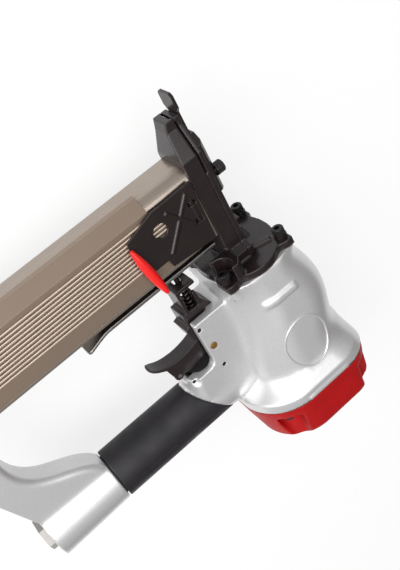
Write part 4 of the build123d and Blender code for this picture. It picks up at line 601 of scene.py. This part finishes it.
@dataclass
class SoftCasting:
    """A cast part whose solid gets the rounded edges and blends that a mould leaves."""

    node: str
    finish: Finish
    voxel: float
    round_passes: int = 2
    blend_passes: int = 0
    triangles: int = 150_000
    machined: tuple[Zone, ...] = ()
    sliding: str = ""
    slide_margin: float = 0.0012
    step: float = 0.5
    passes_per_normals: int = 8

    def build(self, frame: dict, shop: FinishShop) -> bpy.types.Object:
        """Makes the softened piece, which stands for its CAD node.

        Args:
            frame: The loaded frame.
            shop: Where its finish is made.

        Returns:
            The finished piece.
        """
        piece = stand_in(frame, self.node, "casting")
        remesh = piece.modifiers.new("skin", "REMESH")
        remesh.mode = "VOXEL"
        remesh.voxel_size = self.voxel
        settled(piece)
        self._shape(piece.data)
        count = sum(len(face.vertices) - 2 for face in piece.data.polygons)
        if count > self.triangles:
            thin = piece.modifiers.new("thin", "DECIMATE")
            thin.ratio = self.triangles / count
            settled(piece)
        piece.data.shade_smooth()
        shop.dress(piece, self.finish)
        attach(piece, body_of(frame, self.node))
        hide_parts(self.node)
        log.info("%s: %d faces", piece.name, len(piece.data.polygons))
        return piece

    def _shape(self, mesh: bpy.types.Mesh) -> None:
        """Fills inner corners to blends, then rounds all edges a little."""
        count = len(mesh.vertices)
        points = np.empty(count * 3)
        mesh.vertices.foreach_get("co", points)
        points = points.reshape(-1, 3)
        ends = np.empty(len(mesh.edges) * 2, np.int64)
        mesh.edges.foreach_get("vertices", ends)
        ends = ends.reshape(-1, 2)
        degree = np.maximum(np.bincount(ends.ravel(), minlength=count), 1)[:, None]
        free = np.ones(count)
        for zone in self.machined:
            free[zone.holds(points)] = 0.0
        loose = 1.0 - self._channel(points)
        for turn in range(self.blend_passes + self.round_passes):
            if turn % self.passes_per_normals == 0:
                mesh.vertices.foreach_set("co", points.ravel())
                mesh.update()
                normals = np.empty(count * 3)
                mesh.vertex_normals.foreach_get("vector", normals)
                normals = normals.reshape(-1, 3)
            pull = self._neighbours(points, ends, count) / degree - points
            if turn < self.blend_passes:
                out = np.clip((pull * normals).sum(1), 0, None) * free
                points = points + self.step * out[:, None] * normals
            else:
                points = points + self.step * pull * loose[:, None]
        mesh.vertices.foreach_set("co", points.ravel())
        mesh.update()

    def _channel(self, points: np.ndarray) -> np.ndarray:
        """Marks the points round the part that slides up and down through the casting.

        Args:
            points: The casting's points.

        Returns:
            1 for each point of the channel and 0 for the others.
        """
        if not self.sliding:
            return np.zeros(len(points))
        low, high = (np.array(corner)[[0, 2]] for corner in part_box(self.sliding))
        across = points[:, [0, 2]]
        inside = (across > low - self.slide_margin) & (across < high + self.slide_margin)
        return inside.all(1).astype(float)

    @staticmethod
    def _neighbours(points: np.ndarray, ends: np.ndarray, count: int) -> np.ndarray:
        """Sum of each point's neighbours along the edges."""
        total = np.zeros((count, 3))
        for axis in range(3):
            total[:, axis] = (np.bincount(ends[:, 0], points[ends[:, 1], axis], count)
                              + np.bincount(ends[:, 1], points[ends[:, 0], axis], count))
        return total


class BeadPath(Enum):
    """Shapes of path that a bead can follow."""

    RING = "ring"
    LINE = "line"


def node_inputs(tree: bpy.types.NodeTree, modifier: bpy.types.Modifier, values: dict) -> None:
    """Sets a modifier's named inputs through their sockets' identifiers."""
    keys = {item.name: item.identifier for item in tree.interface.items_tree if item.in_out == "INPUT"}
    for label, value in values.items():
        modifier[keys[label]] = value


def geometry_tree(name: str, inputs: dict[str, str]) -> tuple:
    """Starts a geometry tree that takes and gives one mesh.

    Args:
        name: The tree's name.
        inputs: The named inputs after the mesh, with their socket types.

    Returns:
        The bench, the input sockets and the output socket.
    """
    tree = bpy.data.node_groups.new(name, "GeometryNodeTree")
    tree.interface.new_socket("Geometry", in_out="INPUT", socket_type="NodeSocketGeometry")
    for label, kind in inputs.items():
        tree.interface.new_socket(label, in_out="INPUT", socket_type=kind)
    tree.interface.new_socket("Geometry", in_out="OUTPUT", socket_type="NodeSocketGeometry")
    bench = NodeBench(tree)
    return bench, bench.add("NodeGroupInput").outputs, bench.add("NodeGroupOutput").inputs["Geometry"]


def close_tree(bench: NodeBench, shape: bpy.types.Node, finish: bpy.types.NodeSocket,
               out: bpy.types.NodeSocket) -> bpy.types.NodeTree:
    """Ends a geometry tree with real geometry in one finish.

    Args:
        bench: The tree's bench.
        shape: The node whose first output is the shape.
        finish: The socket that gives the material.
        out: The tree's output socket.

    Returns:
        The whole tree.
    """
    real = bench.add("GeometryNodeRealizeInstances", {"Geometry": shape.outputs[0]})
    dressed = bench.add("GeometryNodeSetMaterial", {"Geometry": real.outputs[0], "Material": finish})
    bench.feed(out, dressed.outputs[0])
    return bench.tree


@dataclass
class SurfaceBead:
    """A thin raised bead laid along a path on a casting's upper side."""

    name: str
    path: BeadPath
    centre: tuple[float, float]
    reach: tuple[float, float]
    wire: float
    finish: Finish
    body: str = "housing"
    points: int = 120
    fall: float = 0.2
    wire_sides: int = 10

    def build(self, carrier: bpy.types.Object, shop: FinishShop) -> bpy.types.Object:
        """Lays the bead on its carrier.

        Args:
            carrier: The piece whose surface the bead follows.
            shop: Where its finish is made.

        Returns:
            The finished bead.
        """
        piece = link(self.name, carrier.data.copy())
        modifier = piece.modifiers.new("bead", "NODES")
        modifier.node_group = self._tree()
        above = max(corner[2] for corner in carrier.bound_box) + self.wire
        node_inputs(modifier.node_group, modifier, {
            "Centre": (*self.centre, above), "Reach": (*self.reach, 1.0), "Wire": self.wire,
            "Points": self.points, "Fall": self.fall, "Finish": shop.material(self.finish)})
        settled(piece)
        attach(piece, self.body)
        log.info("%s: %d faces", piece.name, len(piece.data.polygons))
        return piece

    def _tree(self) -> bpy.types.NodeTree:
        """The tree that drops a path onto the carrier and gives it a round section."""
        bench, given, out = geometry_tree(self.name, {
            "Centre": "NodeSocketVector", "Reach": "NodeSocketVector", "Wire": "NodeSocketFloat",
            "Points": "NodeSocketInt", "Fall": "NodeSocketFloat", "Finish": "NodeSocketMaterial"})
        if self.path is BeadPath.RING:
            path = bench.add("GeometryNodeCurvePrimitiveCircle", {
                "Resolution": given["Points"], "Radius": 1.0})
        else:
            line = bench.add("GeometryNodeCurvePrimitiveLine", {
                "Start": (-1.0, -1.0, 0.0), "End": (1.0, 1.0, 0.0)})
            path = bench.add("GeometryNodeResampleCurve", {
                "Curve": line.outputs[0], "Count": given["Points"]})
        placed = bench.add("GeometryNodeTransform", {
            "Geometry": path.outputs[0], "Translation": given["Centre"], "Scale": given["Reach"]})
        drop = bench.add("ShaderNodeCombineXYZ", {2: bench.math("MULTIPLY", given["Fall"], -1.0)})
        ray = bench.add("GeometryNodeRaycast", {
            "Target Geometry": given["Geometry"], "Ray Direction": drop.outputs[0],
            "Ray Length": given["Fall"]})
        laid = bench.add("GeometryNodeSetPosition", {
            "Geometry": placed.outputs[0], "Position": ray.outputs["Hit Position"]})
        round_wire = bench.add("GeometryNodeCurvePrimitiveCircle", {
            "Resolution": self.wire_sides, "Radius": given["Wire"]})
        bead = bench.add("GeometryNodeCurveToMesh", {
            "Curve": laid.outputs[0], "Profile Curve": round_wire.outputs[0], "Fill Caps": True})
        smooth = bench.add("GeometryNodeSetShadeSmooth", {"Geometry": bead.outputs[0]})
        return close_tree(bench, smooth, given["Finish"], out)


@dataclass
class KnurledHeads:
    """Knurled skirts round the socket heads of one group of screws."""

    node: str
    axis: Axis
    head_at_low_end: bool
    radius: float = 0.00425
    height: float = 0.005
    ridge: float = 0.00028
    ridges: int = 32
    skirt: float = 0.78
    ridge_sides: int = 6
    pair_span: float = 2.5

    def build(self, frame: dict, shop: FinishShop) -> bpy.types.Object:
        """Makes the ridges of every head in the group.

        Args:
            frame: The loaded frame.
            shop: Where the finish is made.

        Returns:
            The finished ridges.
        """
        mesh = bpy.data.meshes.new(self.node + "_knurls")
        mesh.from_pydata(self._places(), [], [])
        piece = link(self.node + "_knurls", mesh)
        modifier = piece.modifiers.new("knurl", "NODES")
        modifier.node_group = self._tree()
        turn = ((0.0, math.pi / 2, 0.0), (math.pi / 2, 0.0, 0.0), (0.0, 0.0, 0.0))[self.axis]
        node_inputs(modifier.node_group, modifier, {
            "Radius": self.radius, "Height": self.height * self.skirt, "Ridge": self.ridge,
            "Ridges": self.ridges, "Turn": turn, "Finish": shop.material(BLACK_SCREW)})
        settled(piece)
        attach(piece, body_of(frame, self.node))
        log.info("%s: %d faces", piece.name, len(piece.data.polygons))
        return piece

    def _places(self) -> list[tuple[float, ...]]:
        """Middle of each head's knurled skirt, from the corners of the group's box."""
        low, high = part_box(self.node)
        spans = []
        for axis in range(3):
            if axis == self.axis:
                end = low[axis] + self.height / 2 if self.head_at_low_end else high[axis] - self.height / 2
                spans.append([end])
            elif high[axis] - low[axis] > self.pair_span * self.radius:
                spans.append([low[axis] + self.radius, high[axis] - self.radius])
            else:
                spans.append([(low[axis] + high[axis]) / 2])
        return [(x, y, z) for x in spans[0] for y in spans[1] for z in spans[2]]

    def _tree(self) -> bpy.types.NodeTree:
        """The tree that sets ridges round a circle and a circle on every head."""
        bench, given, out = geometry_tree(self.node + "_knurl", {
            "Radius": "NodeSocketFloat", "Height": "NodeSocketFloat", "Ridge": "NodeSocketFloat",
            "Ridges": "NodeSocketInt", "Turn": "NodeSocketVector", "Finish": "NodeSocketMaterial"})
        circle = bench.add("GeometryNodeMeshCircle", {"Vertices": given["Ridges"], "Radius": given["Radius"]})
        ridge = bench.add("GeometryNodeMeshCylinder", {
            "Vertices": self.ridge_sides, "Radius": given["Ridge"], "Depth": given["Height"]})
        skirt = bench.add("GeometryNodeInstanceOnPoints", {
            "Points": circle.outputs[0], "Instance": ridge.outputs["Mesh"]})
        turn = bench.add("FunctionNodeEulerToRotation", {0: given["Turn"]})
        heads = bench.add("GeometryNodeInstanceOnPoints", {
            "Points": given["Geometry"], "Instance": skirt.outputs[0], "Rotation": turn.outputs[0]})
        return close_tree(bench, heads, given["Finish"], out)


@dataclass(frozen=True)
class CoilSpring:
    """A smooth-shaded coil spring that stands for its CAD node."""

    node: str
    joint: str
    axis: Axis
    travel: float
    held_at_high_end: bool = True
    crease_degrees: float = 40.0

    def build(self, frame: dict, shop: FinishShop) -> bpy.types.Object:
        """Makes the coil, which stands for its CAD node.

        Args:
            frame: The loaded frame.
            shop: Where its finish is made.

        Returns:
            The finished coil.
        """
        piece = stand_in(frame, self.node, "coil")
        piece.data.shade_smooth()
        piece.data.set_sharp_from_angle(angle=math.radians(self.crease_degrees))
        shop.dress(piece, SPRING_STEEL)
        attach(piece, body_of(frame, self.node))
        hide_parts(self.node)
        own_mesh(piece)
        return piece


@dataclass
class Magazine:
    """The magazine's rail with its blackened hinge lugs, and rounded crests on its cover's ribs in a lighter
    colour that paints the ribs' highlight.
    """

    lug_reach: float = 0.0032
    lug_height: float = 0.0145
    crease_degrees: float = 30.0
    rib_low: float = 0.042
    rib_high: float = 0.0715
    rib_count: int = 11
    crest_half_width: float = 0.0008
    crest_flatness: float = 0.4
    crest_inset: float = 0.0004
    crest_sides: int = 12

    def build(self, frame: dict, shop: FinishShop) -> None:
        """Makes the rail and the crests.

        Args:
            frame: The loaded frame.
            shop: Where finishes are made.
        """
        self._rail(frame, shop)
        self._crests(shop)

    def _crests(self, shop: FinishShop) -> bpy.types.Object:
        """Lays a rounded crest along the top of each rib, lighter in colour as a painted highlight.

        Args:
            shop: Where the finish is made.

        Returns:
            The finished crests.
        """
        low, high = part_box("magazine_cover")
        piece = link("cover_rib_crests", bpy.data.meshes.new("cover_rib_crests"))
        modifier = piece.modifiers.new("crests", "NODES")
        modifier.node_group = self._crest_tree()
        middle = (low[0] + high[0]) / 2
        node_inputs(modifier.node_group, modifier, {
            "First": (middle, self.rib_low, high[2]), "Last": (middle, self.rib_high, high[2]),
            "Count": self.rib_count, "Length": high[0] - low[0] - 2 * self.crest_inset,
            "Half Width": self.crest_half_width, "Flatness": self.crest_flatness,
            "Finish": shop.material(CREST_HIGHLIGHT)})
        settled(piece)
        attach(piece, "cover")
        log.info("%s: %d faces", piece.name, len(piece.data.polygons))
        return piece

    def _crest_tree(self) -> bpy.types.NodeTree:
        """The tree that repeats one long flat crest across the cover."""
        bench, given, out = geometry_tree("rib_crests", {
            "First": "NodeSocketVector", "Last": "NodeSocketVector", "Count": "NodeSocketInt",
            "Length": "NodeSocketFloat", "Half Width": "NodeSocketFloat", "Flatness": "NodeSocketFloat",
            "Finish": "NodeSocketMaterial"})
        ends = {"Count": given["Count"], "Start Location": given["First"], "Offset": given["Last"]}
        ribs = bench.add("GeometryNodeMeshLine", ends, mode="END_POINTS")
        rod = bench.add("GeometryNodeMeshCylinder", {
            "Vertices": self.crest_sides, "Radius": given["Half Width"], "Depth": given["Length"]})
        flat = bench.add("ShaderNodeCombineXYZ", {0: given["Flatness"], 1: 1.0, 2: 1.0})
        crest = bench.add("GeometryNodeTransform", {
            "Geometry": rod.outputs["Mesh"], "Scale": flat.outputs[0]})
        turn = bench.add("FunctionNodeEulerToRotation", {0: (0.0, math.pi / 2, 0.0)})
        rows = bench.add("GeometryNodeInstanceOnPoints", {
            "Points": ribs.outputs[0], "Instance": crest.outputs[0], "Rotation": turn.outputs[0]})
        return close_tree(bench, rows, given["Finish"], out)

    def _rail(self, frame: dict, shop: FinishShop) -> bpy.types.Object:
        """Makes the two-tone rail, which stands for its CAD node.

        Args:
            frame: The loaded frame.
            shop: Where finishes are made.

        Returns:
            The finished rail.
        """
        piece = stand_in(frame, "magazine_rail", "two_tone")
        mesh = piece.data
        mesh.shade_smooth()
        mesh.set_sharp_from_angle(angle=math.radians(self.crease_degrees))
        mesh.materials.clear()
        mesh.materials.append(shop.material(LIGHT_ALLOY))
        mesh.materials.append(shop.material(BLACK_STEEL))
        low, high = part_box("latch_pin")
        middle = (low[0] + high[0]) / 2
        for face in mesh.polygons:
            near = abs(face.center[0] - middle) < self.lug_reach and low[1] < face.center[1] < high[1]
            face.material_index = int(near and face.center[2] > self.lug_height)
        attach(piece, body_of(frame, "magazine_rail"))
        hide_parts("magazine_rail")
        log.info("%s: %d faces", piece.name, len(mesh.polygons))
        return piece


@dataclass(frozen=True)
class Lamp:
    """A soft square lamp: where it hangs, its side in metres and its power in watts."""

    name: str
    place: Triple
    size: float
    power: float


@dataclass
class Studio:
    """The pale floor, the lamps and the camera of the photograph's view."""

    floor_size: float = 6.0
    floor_drop: float = 0.0004
    floor_glow: float = 0.75
    floor_roughness: float = 0.9
    floor_fibre: float = 30.0
    floor_tones: tuple[Colour, Colour] = (paint(243, 243, 243), paint(246, 246, 246))
    sky_tones: tuple[Colour, Colour] = (paint(128, 122, 120), paint(255, 255, 255))
    sky_strength: float = 0.7
    bright_side: Triple = (0.62, -0.7, 0.35)
    bright_limits: Limits = (-0.7, 0.8)
    lamps: tuple[Lamp, ...] = (Lamp("window", (1.25, -0.6, 0.85), 1.0, 18.0),
                               Lamp("ceiling", (0.35, -0.2, 1.5), 1.6, 15.0))
    lamp_aim: Triple = (0.08, 0.14, 0.0)
    camera_place: Triple = (0.16289, -0.24487, 0.45231)
    camera_turn: Triple = (-24.2143, -31.7309, 152.1976)
    lens: float = 53.23
    sensor: float = 36.0
    near_limit: float = 0.02
    shift: tuple[float, float] = (0.01004, -0.05943)

    def build(self, low: float) -> None:
        """Sets up everything round the object.

        Args:
            low: Height of the object's lowest point.
        """
        self._floor(low - self.floor_drop)
        self._world()
        for lamp in self.lamps:
            self._hang(lamp)
        self._camera()

    def _floor(self, height: float) -> None:
        """A wide pale floor under the object."""
        half = self.floor_size / 2
        work = bmesh.new()
        signs = ((-1, -1), (1, -1), (1, 1), (-1, 1))
        work.faces.new([work.verts.new((x * half, y * half, height)) for x, y in signs])
        mesh = bpy.data.meshes.new("floor")
        work.to_mesh(mesh)
        work.free()
        floor = link("floor", mesh)
        made = bpy.data.materials.new("floor_card")
        made.use_nodes = True
        bench = NodeBench(made.node_tree)
        shader = made.node_tree.nodes["Principled BSDF"]
        place = bench.add("ShaderNodeTexCoord").outputs["Object"]
        fibre = bench.noise(place, self.floor_fibre, FINE_DETAIL)
        bench.feed(shader.inputs["Base Color"], bench.blend(fibre, *self.floor_tones))
        shader.inputs["Roughness"].default_value = self.floor_roughness
        seen = bench.add("ShaderNodeLightPath").outputs
        mirrored = bench.math("MAXIMUM", seen["Is Glossy Ray"], seen["Is Transmission Ray"])
        direct = bench.math("MAXIMUM", seen["Is Camera Ray"], mirrored)
        share = bench.math("MULTIPLY", direct, self.floor_glow)
        white = bench.add("ShaderNodeEmission", {"Strength": 1.0})
        both = bench.add("ShaderNodeMixShader", {0: share, 1: shader.outputs[0], 2: white.outputs[0]})
        bench.feed(made.node_tree.nodes["Material Output"].inputs["Surface"], both.outputs[0])
        floor.data.materials.append(made)
        floor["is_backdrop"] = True

    def _world(self) -> None:
        """Soft light from all round, brighter on the window's side."""
        world = bpy.data.worlds.new("studio")
        bpy.context.scene.world = world
        world.use_nodes = True
        bench = NodeBench(world.node_tree)
        towards = bench.add("ShaderNodeTexCoord").outputs["Generated"]
        side = bench.add("ShaderNodeVectorMath", {0: towards, 1: self.bright_side}, operation="DOT_PRODUCT")
        sky = world.node_tree.nodes["Background"]
        share = bench.span(side.outputs["Value"], 0.0, 1.0, *self.bright_limits)
        bench.feed(sky.inputs["Color"], bench.blend(share, *self.sky_tones))
        sky.inputs["Strength"].default_value = self.sky_strength

    def _hang(self, lamp: Lamp) -> None:
        """Hangs one lamp so that it faces the object.

        Args:
            lamp: The lamp to hang.
        """
        data = bpy.data.lights.new(lamp.name, "AREA")
        data.shape = "SQUARE"
        data.size = lamp.size
        data.energy = lamp.power
        hung = bpy.data.objects.new(lamp.name, data)
        hung.location = lamp.place
        aim = Vector(self.lamp_aim) - Vector(lamp.place)
        hung.rotation_euler = aim.to_track_quat("-Z", "Y").to_euler()
        bpy.context.scene.collection.objects.link(hung)

    def _camera(self) -> None:
        """The camera, at the photograph's place and turn."""
        data = bpy.data.cameras.new("camera")
        data.sensor_fit = "VERTICAL"
        data.sensor_height = self.sensor
        data.lens = self.lens
        data.shift_x, data.shift_y = self.shift
        data.clip_start = self.near_limit
        camera = bpy.data.objects.new("camera", data)
        camera.location = self.camera_place
        camera.rotation_euler = Euler([math.radians(turn) for turn in self.camera_turn], "XYZ")
        bpy.context.scene.collection.objects.link(camera)
        bpy.context.scene.camera = camera


def dress_nodes(frame: dict, shop: FinishShop) -> None:
    """Gives every CAD node the finish of its material slot.

    Args:
        frame: The loaded frame.
        shop: Where finishes are made.
    """
    by_slot = {finish.slot: finish for finish in FINISHES}
    for part in frame["record"]["subparts"]:
        finish = by_slot[part["material_slot"]]
        shop.dress(frame["nodes"][part["node"]], finish)
        log.info("%s: %s", part["node"], finish.slot)


def build_castings(frame: dict, shop: FinishShop) -> dict[str, bpy.types.Object]:
    """Makes every cast, moulded or pressed part that has rounded edges.

    Args:
        frame: The loaded frame.
        shop: Where finishes are made.

    Returns:
        The pieces, by the node that each stands for.
    """
    bar = Zone(Axis.Z, centre=(0.0, 0.146), radius=0.019)
    lip = Zone(Axis.Z, centre=(0.0, 0.2335), radius=0.024)
    drive_slot = Zone(Axis.Y, centre=(0.0, 0.0), radius=0.017)
    castings = (
        SoftCasting("main_body", SILVER_PAINT, voxel=0.001, blend_passes=60, machined=(bar, lip)),
        SoftCasting("head_cap", RED_PAINT, voxel=0.0008, round_passes=3, triangles=90_000),
        SoftCasting("tail_cap", SILVER_PAINT, voxel=0.0009, round_passes=3, blend_passes=30,
                    triangles=60_000),
        SoftCasting("grip_sleeve", GRIP_RUBBER, voxel=0.0008, triangles=60_000),
        SoftCasting("nose_base", BLACK_CASTING, voxel=0.0005, round_passes=3, blend_passes=18,
                    triangles=120_000, machined=(drive_slot,), sliding="driver_blade"),
        SoftCasting("front_plate", BLACK_CASTING, voxel=0.00045, triangles=60_000),
        SoftCasting("trip_cover", BLACK_CASTING, voxel=0.0004, triangles=40_000),
        SoftCasting("trip_bracket", BLACK_CASTING, voxel=0.0004, triangles=60_000),
        SoftCasting("trigger", BLACK_CASTING, voxel=0.0004, round_passes=3, triangles=60_000),
        SoftCasting("latch_plate", BLACK_STEEL, voxel=0.0003, round_passes=8, triangles=180_000),
        SoftCasting("release_lever", BRIGHT_STEEL, voxel=0.0004, round_passes=3, triangles=60_000),
    )
    return {casting.node: casting.build(frame, shop) for casting in castings}


def build_trim(frame: dict, shop: FinishShop, castings: dict[str, bpy.types.Object]) -> None:
    """Adds the beads, the knurled heads, the coil springs and the magazine's details.

    Args:
        frame: The loaded frame.
        shop: Where finishes are made.
        castings: The castings that carry the beads.
    """
    badge = SurfaceBead("badge_rim", BeadPath.RING, centre=(-0.0024, 0.194), reach=(0.0182, 0.0223),
                        wire=0.0009, finish=SILVER_PAINT)
    badge.build(castings["main_body"], shop)
    seams = (("grip_seam_front", (0.0948, 0.2103), 0.0166), ("grip_seam_rear", (0.133, 0.2106), 0.017))
    for name, centre, half in seams:
        seam = SurfaceBead(name, BeadPath.LINE, centre, reach=(half, 0.0), wire=0.0003, finish=GRIP_RUBBER)
        seam.build(castings["grip_sleeve"], shop)
    for heads in (KnurledHeads("base_screws", Axis.Y, head_at_low_end=True),
                  KnurledHeads("cap_screws", Axis.Y, head_at_low_end=False),
                  KnurledHeads("trip_cover_bolts", Axis.X, head_at_low_end=True),
                  KnurledHeads("plate_bolts", Axis.X, head_at_low_end=True),
                  KnurledHeads("hanger_bolts", Axis.Z, head_at_low_end=False)):
        heads.build(frame, shop)
    for spring in (CoilSpring("head_valve_spring", "head_valve_lift", Axis.Y, travel=0.005),
                   CoilSpring("trip_spring", "trip_slide", Axis.Y, travel=0.0135),
                   CoilSpring("valve_spring", "valve_stem_lift", Axis.Y, travel=0.0016),
                   CoilSpring("latch_spring", "latch_pivot", Axis.Z, travel=0.0018, held_at_high_end=False)):
        spring.build(frame, shop)
    Magazine().build(frame, shop)


def main() -> None:
    """Loads the frame, builds each sub-assembly in order and sets the studio under the object's lowest point.
    """
    logging.basicConfig(level=logging.INFO, format="%(name)s %(message)s")
    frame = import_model()
    solid_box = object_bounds()
    bpy.context.scene.view_settings.view_transform = "Standard"
    shop = FinishShop()
    shop.prepare()
    dress_nodes(frame, shop)
    build_trim(frame, shop, build_castings(frame, shop))
    Studio().build(solid_box[0][2])


if __name__ == "__main__":
    main()
